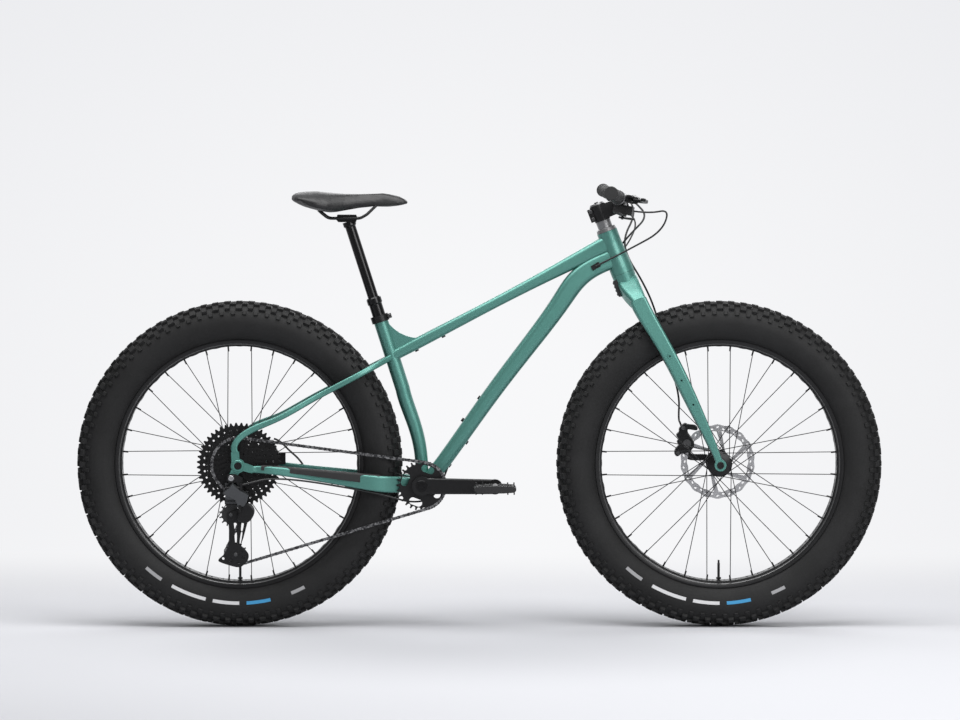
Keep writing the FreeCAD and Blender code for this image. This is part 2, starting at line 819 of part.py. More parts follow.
def make_rotor(label, at, middle, radius):
    thick = size.rotor_thickness
    body = plate(label, at, -dim(middle), thick, [(0, 0, radius)], [(0, 0, 13.1)])
    window = sketch_on(body, "XZ_Plane", -dim(middle))
    low, high = dim(27), radius - 17
    outline(window, [
        (-10, low), (11, low + 4), (high * 0.45, high * 0.87, -high), (-high * 0.36, high * 0.9)])
    around(body, extrude(body, "Pocket", window, 20), 6)
    slot = sketch_on(body, "XZ_Plane", -dim(middle))
    circle(slot, -4, radius - 8.5, 3)
    around(body, extrude(body, "Pocket", slot, 20), 24)
    return keep(label, body)


# Chain line
class Wheel:
    def __init__(self, x, z, teeth, way):
        self.centre = Vector(x, 0, z)
        self.teeth = teeth
        self.radius = teeth * size.chain_pitch.value / (2 * math.pi)
        self.way = way


def leaving(first, second):
    """Straight run of chain from one wheel to the next: its two ends."""
    span = second.centre - first.centre
    offset = (second.way * second.radius - first.way * first.radius) / span.Length
    angle = math.atan2(span.z, span.x) - math.asin(offset)
    left = Vector(-math.sin(angle), 0, math.cos(angle))
    start = first.centre - left * (first.way * first.radius)
    end = second.centre - left * (second.way * second.radius)
    return start, end


class ChainPath:
    """Closed path of the chain round its four wheels."""

    def __init__(self, wheels):
        self.pieces = []
        count = len(wheels)
        runs = [leaving(wheels[n], wheels[(n + 1) % count]) for n in range(count)]
        for n, wheel in enumerate(wheels):
            arrive = runs[n - 1][1] - wheel.centre
            depart = runs[n][0] - wheel.centre
            begin = math.atan2(arrive.z, arrive.x)
            finish = math.atan2(depart.z, depart.x)
            sweep = ((finish - begin) * wheel.way) % (2 * math.pi)
            self.pieces.append(("arc", wheel, begin, sweep * wheel.radius))
            self.pieces.append(("run", runs[n][0], runs[n][1], (runs[n][1] - runs[n][0]).Length))
        self.length = sum(piece[3] for piece in self.pieces)

    def at(self, distance):
        distance = distance % self.length
        for kind, first, second, reach in self.pieces:
            if distance <= reach:
                if kind == "run":
                    return first + (second - first) * (distance / reach)
                angle = second + first.way * distance / first.radius
                return first.centre + Vector(math.cos(angle), 0, math.sin(angle)) * first.radius
            distance -= reach
        return self.at(0)

    def start_of(self, wheel):
        total = 0
        for kind, first, second, reach in self.pieces:
            if kind == "arc" and first is wheel:
                return total
            total += reach


knuckle_x = rear_x + size.knuckle_ahead
knuckle_z = axle_z - size.knuckle_drop
GUIDE_ARM = Vector(-32, 0, -3)
TENSION_ARM = Vector(-26.5, 0, -99)


def chain_wheels(cage_turn):
    turn = Rotation(Vector(*ALONG_Y), cage_turn)
    pivot = Vector(knuckle_x.value, 0, knuckle_z.value)
    guide = pivot + turn.multVec(GUIDE_ARM)
    tension = pivot + turn.multVec(TENSION_ARM)
    ring_teeth = int(round(size.ring_teeth.value))
    pulley = int(round(size.pulley_teeth.value))
    return [
        Wheel(bb_x.value, bb_z.value, ring_teeth, -1), Wheel(tension.x, tension.z, pulley, -1),
        Wheel(guide.x, guide.z, pulley, 1), Wheel(rear_x.value, axle_z.value, SPROCKETS[CHAIN_SPROCKET], -1),
    ]


def settle_chain():
    """Swing the sprung cage until a whole, even number of links fits."""
    pitch = size.chain_pitch.value
    links = 2 * round(ChainPath(chain_wheels(0)).length / pitch / 2)
    low, high = -25.0, 25.0
    low_gap = ChainPath(chain_wheels(low)).length - links * pitch
    for _ in range(60):
        middle = (low + high) / 2
        gap = ChainPath(chain_wheels(middle)).length - links * pitch
        if (gap > 0) == (low_gap > 0):
            low = middle
        else:
            high = middle
    return middle, links


cage_turn, link_count = settle_chain()
chain_rounds = chain_wheels(cage_turn)
ring_wheel, tension_wheel, guide_wheel, sprocket_wheel = chain_rounds
chain_path = ChainPath(chain_rounds)
print("chain links", link_count, "cage turn", round(cage_turn, 2))


def tooth_phase(wheel):
    """Turn of a wheel that brings a gap between teeth under a roller."""
    pitch = size.chain_pitch.value
    begin = chain_path.start_of(wheel)
    roller = math.ceil(begin / pitch + 0.5) * pitch
    arm = chain_path.at(roller) - wheel.centre
    return 90 - math.degrees(math.atan2(arm.z, arm.x))


def stadium(length, radius, thickness, side):
    bar = Part.makeBox(length, thickness, radius * 1.7, Vector(0, side, -radius * 0.85))
    ends = [Part.makeCylinder(radius, thickness, Vector(x, side, 0), Vector(0, 1, 0)) for x in (0, length)]
    return bar.fuse(ends).removeSplitter()


def make_chain():
    pitch = size.chain_pitch.value
    inner_plates = [stadium(pitch, 3.9, 0.75, side) for side in (1.05, -1.8)]
    rollers = [Part.makeCylinder(3.8, 2.2, Vector(x, -1.1, 0), Vector(0, 1, 0)) for x in (0, pitch)]
    holes = [Part.makeCylinder(1.9, 8, Vector(x, -4, 0), Vector(0, 1, 0)) for x in (0, pitch)]
    inner = inner_plates[0].fuse(inner_plates[1:] + rollers).cut(holes)
    outer_plates = [stadium(pitch, 3.9, 0.75, side) for side in (1.95, -2.7)]
    pins = [Part.makeCylinder(1.75, 5.4, Vector(x, -2.7, 0), Vector(0, 1, 0)) for x in (0, pitch)]
    outer = outer_plates[0].fuse(outer_plates[1:] + pins)
    shapes = []
    for number in range(link_count):
        start = chain_path.at(number * pitch)
        end = chain_path.at((number + 1) * pitch)
        run = end - start
        link = (inner if number % 2 == 0 else outer).copy()
        angle = -math.degrees(math.atan2(run.z, run.x))
        start.y = -size.chain_plane.value
        link.Placement = Placement(start, Rotation(Vector(*ALONG_Y), angle))
        shapes.append(link)
    return keep("chain", made_shape("chain", Part.makeCompound(shapes)))


def toothed(label, at, middle, thickness, teeth, bore, phase=0, windows=(), tip=3.6, ease=0):
    """A toothed wheel; its first gap lies at the top, and the ease widens each gap on both sides."""
    pitch_radius = size.chain_pitch * (teeth / (2 * math.pi))
    at = at.then(turns=[(ALONG_Y, phase)])
    body = plate(label, at, middle, thickness, [(0, 0, pitch_radius + tip)], [(0, 0, bore)])
    gap = sketch_on(body, "XZ_Plane", middle)
    floor, mouth = pitch_radius - 0.3, pitch_radius + 6
    wide, deep = 5.8 + ease, 4.04 + ease
    outline(gap, [(-wide, mouth), (-deep, floor, deep + 0.01), (deep, floor), (wide, mouth)])
    around(body, extrude(body, "Pocket", gap, 40), teeth)
    for window, count in windows:
        sketch = sketch_on(body, "XZ_Plane", middle)
        outline(sketch, window)
        around(body, extrude(body, "Pocket", sketch, 40), count)
    return body


def make_cassette():
    pieces = []
    smallest = size.chain_plane + size.sprocket_step * CHAIN_SPROCKET
    for place, teeth in enumerate(SPROCKETS):
        phase = tooth_phase(sprocket_wheel) if place == CHAIN_SPROCKET else 0
        side = smallest - size.sprocket_step * place
        reach = teeth * 12.7 / (2 * math.pi)
        bore = 17.05 if teeth < 21 else 19.05
        windows = ()
        if teeth >= 28:
            low, high = 25, reach - 13
            windows = (([(-9, low), (9, low), (high * 0.33, high), (-high * 0.33, high)], 6),)
        pieces.append(toothed("sprocket", rear_axle_spot, side, 1.6, teeth, bore, phase, windows))
    inner = smallest - size.sprocket_step * (len(SPROCKETS) - 1) - 2
    edge = smallest + 1.2
    step_at = smallest - size.sprocket_step * 3.5
    freehub = turned("freehub", rear_axle_spot, [
        (size.rear_axle_radius + 0.08, -(rear_face - 0.5)), (14, -(rear_face - 0.5)), (14, -edge),
        (17, -edge), (17, -step_at), (19, -step_at), (19, -inner), (size.rear_axle_radius + 0.08, -inner)])
    keep("cassette", freehub, *pieces)


# Crank, ring and pedals
RING_PHASE = tooth_phase(ring_wheel)


def make_chainring():
    windows = (([(-9, 33), (9, 33, 8.7), (9, 50), (-9, 50, 8.7)], 4),)
    ring_body = toothed("chainring", bb_spot, size.chain_plane, 1.8, int(round(size.ring_teeth.value)),
                        size.spindle_radius + 0.4, RING_PHASE, windows)
    sketch = sketch_on(ring_body, "XZ_Plane", size.chain_plane - 0.9)
    circle(sketch, 0, 0, 24)
    circle(sketch, 0, 0, size.spindle_radius + 0.4)
    extrude(ring_body, "Pad", sketch, 4.9, both=False)
    return keep("chainring", ring_body)


ARM_FACE = size.chain_plane + 4.05
PEDAL_FACE = size.chain_plane + 44


def crank_arm(label, at):
    """Forged arm that leans outward from the spindle to the pedal."""
    reach = size.crank_length
    stations = []
    for share, side, wide, tall in ((0, 8.5, 8, 19.5), (0.25, 13, 8, 19), (0.6, 22, 7.5, 18.5),
                                    (1, 31.5, 7, 17.5)):
        stations.append((at.then(reach * share, -(ARM_FACE + side), 0, [TO_X]), wide, tall, 5))
    arm, _ = tube(label, stations)
    root = cylinder(label, at.then(0, -ARM_FACE, 0, [(ALONG_X, 90)]), 23, 17)
    tip = cylinder(label, at.then(reach, -(PEDAL_FACE - 16), 0, [(ALONG_X, 90)]), 18, 16)
    solid = fuse(label, arm, root, tip)
    spindle_hole = cylinder(label, at.then(0, 0, 0, [(ALONG_X, 90)]), size.spindle_radius + 0.02, 300)
    pedal_hole = cylinder(label, at.then(reach, 0, 0, [(ALONG_X, 90)]), 7.02, 300)
    return cut(label, solid, spindle_hole, pedal_hole)


right_crank = bb_spot
left_crank = bb_spot.then(turns=[(ALONG_Z, 180)])


def pedal_axle(label, at):
    out = PEDAL_FACE
    return turned(label, at.then(size.crank_length), [
        (0, -(out - 16)), (7, -(out - 16)), (7, -(out + 0.02)), (9, -(out + 0.02)), (9, -(out + 4)),
        (5, -(out + 4)), (5, -(out + size.pedal_width)), (0, -(out + size.pedal_width))])


def make_crankset():
    half = ARM_FACE + 17
    spindle = turned("spindle", bb_spot, ring(size.spindle_radius - 4, size.spindle_radius, -half, half))
    pieces = [spindle]
    for at in (right_crank, left_crank):
        pieces += [crank_arm("crank_arm", at), pedal_axle("pedal_axle", at)]
    keep("crankset", *pieces)


def make_pedal(label, at):
    half = size.pedal_length / 2
    thick = size.pedal_depth / 2
    low = PEDAL_FACE + 5
    high = PEDAL_FACE + size.pedal_width + 4
    body = new_body(label, at.then(size.crank_length))
    frame = sketch_on(body, "XY_Plane")
    outline(frame, [(half - 12, -low), (half, -(low + 12)), (half, -(high - 12)), (half - 12, -high),
                    (12 - half, -high), (-half, -(high - 12)), (-half, -(low + 12)), (12 - half, -low)])
    for sign in (-1, 1):
        near, far = (12, half - 10) if sign > 0 else (10 - half, dim(-12))
        outline(frame, [(near, -(low + 12)), (near, -(high - 12)), (far, -(high - 12)), (far, -(low + 12))])
    extrude(body, "Pad", frame, size.pedal_depth)
    bore = sketch_on(body, "XZ_Plane")
    circle(bore, 0, 0, 5.08)
    extrude(body, "Pocket", bore, 2 * (high - 3))
    return keep(label, body)


# Derailleur
def derailleur_point(ahead, drop):
    return rear_x + ahead, axle_z - drop


OUTER_TOP = (-113, -52)
OUTER_LOW = (-91, -94)
INNER_TOP = (-100, -47)
INNER_LOW = (-78, -89)
LINK_BACK, LINK_FRONT = -31, -3


def pivot_pin(label, y, z, start, end):
    return cylinder(label, rear_axle_spot.then(start, y, z, [(ALONG_Y, 90)]), 3, end - start)


def make_derailleur_base():
    x, z = HANGER
    low = rear_face + 5.1
    bracket = plate("derailleur_base", rear_axle_spot, low + 2.7, 5.4, [
        (x - 11, z - 5), (x - 4, z - 11), (x + 12, z - 10), (5, z - 28), (11, z - 28), (11, z + 2),
        (x + 9, z + 10), (x - 8, z + 10)])
    bolt = cylinder("hanger_bolt", rear_axle_spot.then(x, -(rear_face + 0.2), z, [(ALONG_X, 90)]), 5, 5.2)
    ear = box("ear", rear_axle_spot, (5, 11), (-119, -96), (-58, z - 10.5))
    pins = [pivot_pin("pin", y, z, LINK_BACK, 8) for y, z in (OUTER_TOP, INNER_TOP)]
    return keep("derailleur_base", fuse("derailleur_base", bracket, bolt, ear, *pins))


def make_link(label, top, low, wide):
    body = new_body(label, rear_axle_spot)
    sketch = sketch_on(body, "YZ_Plane", LINK_BACK)
    run = Vector(low[0] - top[0], low[1] - top[1], 0).normalize()
    across = Vector(-run.y, run.x, 0) * wide
    ends = [Vector(top[0], top[1], 0) - run * wide, Vector(low[0], low[1], 0) + run * wide]
    corners = [ends[0] - across, ends[1] - across, ends[1] + across, ends[0] + across]
    outline(sketch, [(point.x, point.y) for point in corners])
    circle(sketch, top[0], top[1], 3.08)
    circle(sketch, low[0], low[1], 3.08)
    extrude(body, "Pad", sketch, LINK_FRONT - LINK_BACK, both=False)
    return keep(label, body)


knuckle_spot = spot(knuckle_x, 0, knuckle_z)


def make_knuckle():
    near = size.chain_plane + 6.4
    boss = cylinder("knuckle", knuckle_spot.then(0, -near, 0, [(ALONG_X, 90)]), 14, 16)
    bore = cylinder("knuckle", knuckle_spot.then(0, -near + 1, 0, [(ALONG_X, 90)]), 4.08, 11)
    ear = box("knuckle", rear_axle_spot, (0.5, 8), (-97, -(near + 1)), (-size.knuckle_drop + 2, dim(-84)))
    pins = [pivot_pin("pin", y, z, LINK_BACK, 5) for y, z in (OUTER_LOW, INNER_LOW)]
    return keep("derailleur_knuckle", cut("knuckle", fuse("knuckle", boss, ear, *pins), bore))


cage_spot = knuckle_spot.then(turns=[(ALONG_Y, cage_turn)])


def cage_plate(label, side):
    guide, tension = GUIDE_ARM, TENSION_ARM
    return plate(label, cage_spot, size.chain_plane + side, 1.6, [
        (guide.x - 9, guide.z), (guide.x - 5, guide.z + 9), (5, 11), (11, -2),
        (tension.x + 20, tension.z + 30), (tension.x + 15, tension.z - 4, -15.2),
        (tension.x - 15, tension.z - 4), (tension.x - 7, tension.z + 40)])


def make_cage():
    plane = size.chain_plane
    outer = cage_plate("cage", 5)
    inner = cage_plate("cage", -5)
    pins = []
    for arm in (GUIDE_ARM, TENSION_ARM):
        at = cage_spot.then(arm.x, -(plane - 6), arm.z, [(ALONG_X, 90)])
        pins.append(cylinder("cage_pin", at, 2.5, 12))
    pivot = cylinder("cage_pin", cage_spot.then(0, -(plane + 4.5), 0, [(ALONG_X, 90)]), 4, 10)
    return keep("derailleur_cage", fuse("derailleur_cage", outer, inner, pivot, *pins))


def make_pulley(label, arm, wheel):
    at = cage_spot.then(arm.x, 0, arm.z)
    phase = tooth_phase(wheel) - cage_turn
    body = toothed(label, at, size.chain_plane, 1.8, wheel.teeth, 2.58, phase, tip=2.4, ease=0.5)
    hub = sketch_on(body, "XZ_Plane", size.chain_plane)
    circle(hub, 0, 0, 7)
    circle(hub, 0, 0, 2.58)
    extrude(body, "Pad", hub, 7.4)
    return keep(label, body)


# Fork and steering
def make_fork():
    def leg_section(z, ahead, side, half_x, half_y, corner):
        return section("fork_leg", steer.then(ahead, -dim(side), z), half_x, half_y, corner)

    clear = half_tyre + 6
    face = size.front_spacing / 2
    bottom = -size.fork_length
    leg = loft("fork_leg", [
        leg_section(-70, 10, clear + 5, 20, 11, 6), leg_section(-130, 17, clear + 11, 19.5, 10.5, 6),
        leg_section(bottom * 0.44, 32, face + 5, 17, 10, 6),
        leg_section(bottom * 0.66, 43, face + 8, 15, 9, 5),
        leg_section(bottom * 0.86, 50.5, face + 8, 10.5, 8, 4),
        leg_section(bottom + 10, size.fork_offset, face + 8, 8.5, 7.5, 3.5)])
    eye = cylinder("fork_eye", steer.then(size.fork_offset, -face, bottom, [(ALONG_X, 90)]), 14, 15.5)
    crown = loft("fork_crown", [
        section("fork_crown", steer.then(x, y, z, [(ALONG_X, 90)]), a, b, 10)
        for y, x, z, a, b in ((-76, 11, -84, 16, 16), (-58, 9, -70, 20, 22), (-26, 4, -44, 25, 24),
                              (0, 3, -34, 26, 27), (26, 4, -44, 25, 24), (58, 9, -70, 20, 22),
                              (76, 11, -84, 16, 16))])
    wide = size.head_radius
    race = turned("crown_race", steer, [(19, -30), (wide - 1, -30), (wide, -0.6), (19, -0.6)], "Z")
    bosses = [cylinder("cargo_boss", steer.then(ahead, -(face + 10), z, [(ALONG_X, 90)]), 6, 7)
              for z, ahead in CARGO]
    right = fuse("fork_leg", leg, eye, *bosses)
    whole = fuse("fork", crown, race, right, mirrored("fork_leg", right))
    steerer_hole = cylinder("steerer_hole", steer.then(0, 0, -40), 19.02, 60)
    axle_hole = cylinder("axle_hole", steer.then(size.fork_offset, 150, bottom, [(ALONG_X, 90)]),
                         size.front_axle_radius + 0.02, 300)
    threads = []
    for z, ahead in CARGO:
        for side in (-1, 1):
            threads.append(cylinder("cargo_thread", steer.then(
                ahead, side * (face + 3.0), z, [(ALONG_X, -90 * side)]), 2.5, 30))
    keep("fork", cut("fork", whole, steerer_hole, axle_hole, *threads))
    reach = face + 15.5
    keep("front_axle", turned("front_axle", steer.then(size.fork_offset, 0, bottom), [
        (0, -reach), (size.front_axle_radius, -reach), (size.front_axle_radius, reach + 0.1),
        (11, reach + 0.1), (10, reach + 5), (0, reach + 5)]))


CARGO = ((-222, 32), (-286, 37.5), (-350, 43))


def make_steerer():
    top = size.head_length + size.spacer_stack + size.stem_height
    mid = size.head_length * 0.68
    keep("fork_steerer", turned("fork_steerer", steer, [
        (12, -39.9), (19, -39.9), (19, 14), (14.3, mid), (14.3, top - 2), (12, top - 2)], "Z"))
    high = size.head_length
    stack = high + size.spacer_stack
    cover = turned("headset_cover", steer, [
        (14.35, high + 0.5), (24.5, high + 0.5), (23, high + 8), (19, high + 10), (14.35, high + 10)], "Z")
    spacer = turned("headset_spacer", steer, ring(14.35, 17.5, high + 10.02, stack - 0.02), "Z")
    cap = turned("top_cap", steer, [(0, top + 0.05), (17, top + 0.05), (16, top + 4), (0, top + 4)], "Z")
    keep("headset_spacers", cover, spacer, cap)


def make_stem():
    low = size.head_length + size.spacer_stack
    middle = low + size.stem_height / 2
    reach = size.stem_length
    half = size.stem_height / 2
    clamp = cylinder("stem", steer.then(0, 0, low), 19, size.stem_height)
    side = plate("stem", steer, 0, 36, [
        (0, middle - half + 2), (reach - 8, middle - 17), (reach - 0.4, middle - 20.5),
        (reach - 0.4, middle + 20.5), (reach - 8, middle + 17), (0, middle + half - 2)])
    back = box("stem", steer, (-27, -14), (-11, 11), (middle - 16, middle + 16))
    face = plate("stem", steer, 0, 48, [
        (reach - 9, middle - 19), (reach - 0.4, middle - 21.5), (reach - 0.4, middle + 21.5),
        (reach - 9, middle + 19)])
    bore = cylinder("stem", steer.then(0, 0, low - 5), 14.33, size.stem_height + 10)
    seat = cylinder("stem", steer.then(reach, 100, middle, [(ALONG_X, 90)]), size.bar_radius + 0.02, 200)
    slit = box("stem", steer, (-40, -5), (-1, 1), (low - 5, low + size.stem_height + 5))
    keep("stem", cut("stem", fuse("stem", clamp, side, back, face), bore, seat, slit))
    plate_body = plate("stem_faceplate", steer, 0, 48, [
        (reach + 0.4, middle - 21.5), (reach + 9, middle - 20), (reach + 20, middle - 8),
        (reach + 20, middle + 8), (reach + 9, middle + 20), (reach + 0.4, middle + 21.5)])
    keep("stem_faceplate", cut("stem_faceplate", plate_body, seat))
    return steer.then(reach, 0, middle)


def make_handlebar(clamp):
    """Straight centre, tapered shoulders, short rising runs and swept ends."""
    thin = size.grip_seat
    rise_run = size.bar_rise / math.tan(math.radians(12))
    elbow = dim(112)
    bend = elbow + rise_run
    centre = cylinder("bar", clamp.then(0, 46, 0, [(ALONG_X, 90)]), size.bar_radius, 92)
    taper = named("Part::Cone", "bar")
    taper.setExpression("Radius1", size.bar_radius.text)
    taper.setExpression("Radius2", thin.text)
    taper.setExpression("Height", (elbow - 58).text)
    clamp.then(0, -46, 0, [(ALONG_X, 90)]).give(taper)
    end = clamp.then(0, -bend, size.bar_rise, [(ALONG_Z, -size.bar_back), (ALONG_X, 90 - size.bar_up)])
    reach = (size.bar_width / 2 - bend) / (cos_of(size.bar_back) * cos_of(size.bar_up))
    swept = cable("bar_run", [
        clamp.point(0, 12 - elbow.value, 0), clamp.point(0, -elbow.value, 0),
        end.point(0, 0, 0), end.point(0, 0, reach.value)], thin.value, 60)
    right = fuse("bar_side", taper, swept)
    keep("handlebar", fuse("handlebar", centre, right, mirrored("bar_side", right)))
    return end, reach


def make_grips(end, reach):
    inner = size.grip_seat + 0.03
    low = reach - size.grip_length
    grip = turned("grip", end, [
        (inner, low), (17.5, low), (17.5, low + 9), (15, low + 12), (15, reach - 6), (16.5, reach - 4),
        (16.5, reach + 0.1), (15, reach + 2), (0, reach + 2), (0, reach + 0.1), (inner, reach + 0.1)], "Z")
    keep("grips", grip, mirrored("grip", grip))


# Controls on the right bar end: x points ahead, y up, z out along the bar
LEVER_PIVOT = (42, 68)


def make_brake_controls(end):
    inner = size.grip_seat + 0.03
    x, z = LEVER_PIVOT
    clamp = turned("brake_clamp", end, ring(inner, 15.5, 34, 46), "Z")
    neck = box("brake_neck", end, (13.5, 24), (-5, 8), (34, 46))
    reservoir = cylinder("brake_reservoir", end.then(25, 2, 8), 9, 55)
    lugs = [box("brake_lug", end, (22, x + 6), low, (z - 7, z + 7)) for low in ((4.5, 8), (-8, -4.5))]
    pin = cylinder("brake_pin", end.then(x, -8, z, [(ALONG_X, -90)]), 3, 16)
    hole_for_bar = cylinder("brake_space", end, inner, 200)
    lever_room = box("brake_room", end, (34.5, x + 20), (-4.5, 4.5), (z - 20, z + 20))
    block = fuse("brake_master", clamp, neck, reservoir, *lugs)
    master = fuse("brake_master", cut("brake_master", block, hole_for_bar, lever_room), pin)
    keep("brake_masters", master, mirrored("brake_master", master))
    lever = plate("brake_lever", end, 0, 8, [
        (x - 4, z - 6), (x + 6, z - 6), (x + 24, z + 14), (x + 33, z + 34), (x + 30, z + 64),
        (x + 33, z + 88), (x + 26, z + 91), (x + 22, z + 64), (x + 24, z + 36), (x + 16, z + 21),
        (x - 2, z + 7), (x - 6, z + 2)], [(x, z, 3.08)])
    keep("brake_lever_right", lever)
    keep("brake_lever_left", mirrored("brake_lever", lever))


SHIFT_PIVOT = (12, 22)
REMOTE_PIVOT = (6, 22)


def thumb_clamp(label, end, low, high, block):
    """Clamp round the bar with a housing under it."""
    inner = size.grip_seat + 0.03
    clamp = turned(label, end, ring(inner, 14.8, low, high), "Z")
    housing = box(label, end, *block)
    room = cylinder(label, end, inner, 200)
    return cut(label, fuse(label, clamp, housing), room)


def level_plate(label, end, level, thickness, corners, hole):
    body = new_body(label, end)
    sketch = sketch_on(body, "XZ_Plane", level)
    outline(sketch, corners)
    circle(sketch, *hole)
    extrude(body, "Pad", sketch, thickness)
    return body


def make_shifter(end):
    x, z = SHIFT_PIVOT
    housing = thumb_clamp("shifter", end, 12, 24, ((-12, 34), (-34, -13), (2, 33)))
    pin = cylinder("shifter", end.then(x, -47, z, [(ALONG_X, -90)]), 3, 14)
    keep("shifter_body", fuse("shifter", housing, pin))
    keep("shift_lever", level_plate("shift_lever", end, 37, 4, [
        (x - 7, z - 7), (x + 7, z - 7), (x + 8, z + 12), (x + 3, z + 44), (x + 4, z + 62),
        (x - 12, z + 62), (x - 12, z + 42), (x - 7, z + 10)], (x, z, 3.08)))
    keep("release_lever", level_plate("release_lever", end, 43, 4, [
        (x - 7, z - 7), (x + 7, z - 7), (x + 24, z + 6), (x + 34, z + 26), (x + 24, z + 34),
        (x + 10, z + 16), (x - 7, z + 8)], (x, z, 3.08)))


def make_remote(end):
    x, z = REMOTE_PIVOT
    housing = thumb_clamp("remote", end, 14, 24, ((-10, 20), (-28, -13), (10, 34)))
    pin = cylinder("remote", end.then(x, -37, z, [(ALONG_X, -90)]), 3, 10)
    keep("dropper_remote", mirrored("remote", fuse("remote", housing, pin)))
    lever = level_plate("dropper_lever", end, 32, 6, [
        (x - 8, z - 7), (x + 7, z - 7), (x + 8, z + 14), (x + 4, z + 50), (x + 6, z + 66),
        (x - 14, z + 66), (x - 12, z + 46), (x - 8, z + 12)], (x, z, 3.08))
    keep("dropper_lever", mirrored("dropper_lever", lever))


# Calipers
def caliper(label, at, angle, radius, rotor_side, foot):
    """Two halves over the rotor, with a foot that reaches the frame or fork."""
    local = at.then(0, 0, 0, [(ALONG_Y, -dim(angle))])
    block = plate(label, local, -dim(rotor_side), 30, [
        (radius - 26, -20), (radius - 2, -24), (radius + 10, -18), (radius + 10, 18), (radius - 2, 24),
        (radius - 26, 20)])
    room = plate(label, local, -dim(rotor_side), 4, [
        (radius - 60, -60), (radius + 2.5, -60), (radius + 2.5, 60), (radius - 60, 60)])
    return fuse(label, cut(label, block, room), foot)


def make_calipers():
    bottom = -size.fork_length
    at = steer.then(size.fork_offset, 0, bottom)
    face = size.front_spacing / 2
    foot = box("front_caliper", at, (-76, -4), (74, face + 12), (44, 100))
    front = caliper("front_caliper", at, 150, size.front_rotor_radius, 60, foot)
    front_space = rotor_space(at, 60, size.front_rotor_radius)
    keep("front_caliper", cut("front_caliper", front, nodes_by("fork"), front_space))
    foot = box("rear_caliper", rear_axle_spot, (60, 106), (79.5, 97), (-8, 20))
    rear = caliper("rear_caliper", rear_axle_spot, 22, size.rear_rotor_radius, 78, foot)
    stay = mirrored("stay_space", chainstay_outer)
    rear_space = rotor_space(rear_axle_spot, 78, size.rear_rotor_radius)
    keep("rear_caliper", cut("rear_caliper", rear, stay, rear_space))


def rotor_space(at, middle, radius):
    return cylinder("rotor_space", at.then(0, middle + 2, 0, [(ALONG_X, 90)]), radius + 2.5, 4)


def nodes_by(label):
    return next(item for item in nodes if item.Label == label)


# Bolts, ports and cables
def along_tube(point, share, slope, out, under=False):
    """A spot on a tube, its z pointing away from the tube."""
    x, z = point(share)
    turn = -slope if not under else 180 - slope
    return spot(x, 0, z, [(ALONG_Y, turn)]).then(0, 0, out)


def make_fittings():
    pieces = []
    for share, out, under in ((0.42, 16, False), (0.309, 16, False), (0.245, 16, True), (0.13, 16, True)):
        bolt = cylinder("bottle_bolt", along_tube(down_point, share, DOWN_SLOPE, out, under), 4.8, 7)
        pieces.append(cut("bottle_bolt", bolt, down_outer))
    for share in (0.1, 0.222):
        bolt = cylinder("bottle_bolt", along_tube(top_point, share, TOP_SLOPE, 10, True), 4.8, 7)
        pieces.append(cut("bottle_bolt", bolt, top_outer))
    port_x, port_z = down_bend_x + 57, down_bend_z + 50
    for side in (-1, 1):
        at = spot(port_x, side * 21, port_z, [(ALONG_Y, -30)])
        port = box("cable_port", at, (-11, 11), (-6, 6), (-6, 6))
        pieces.append(cut("cable_port", port, down_outer))
    keep("frame_fittings", *pieces)
    return pieces[-2:]


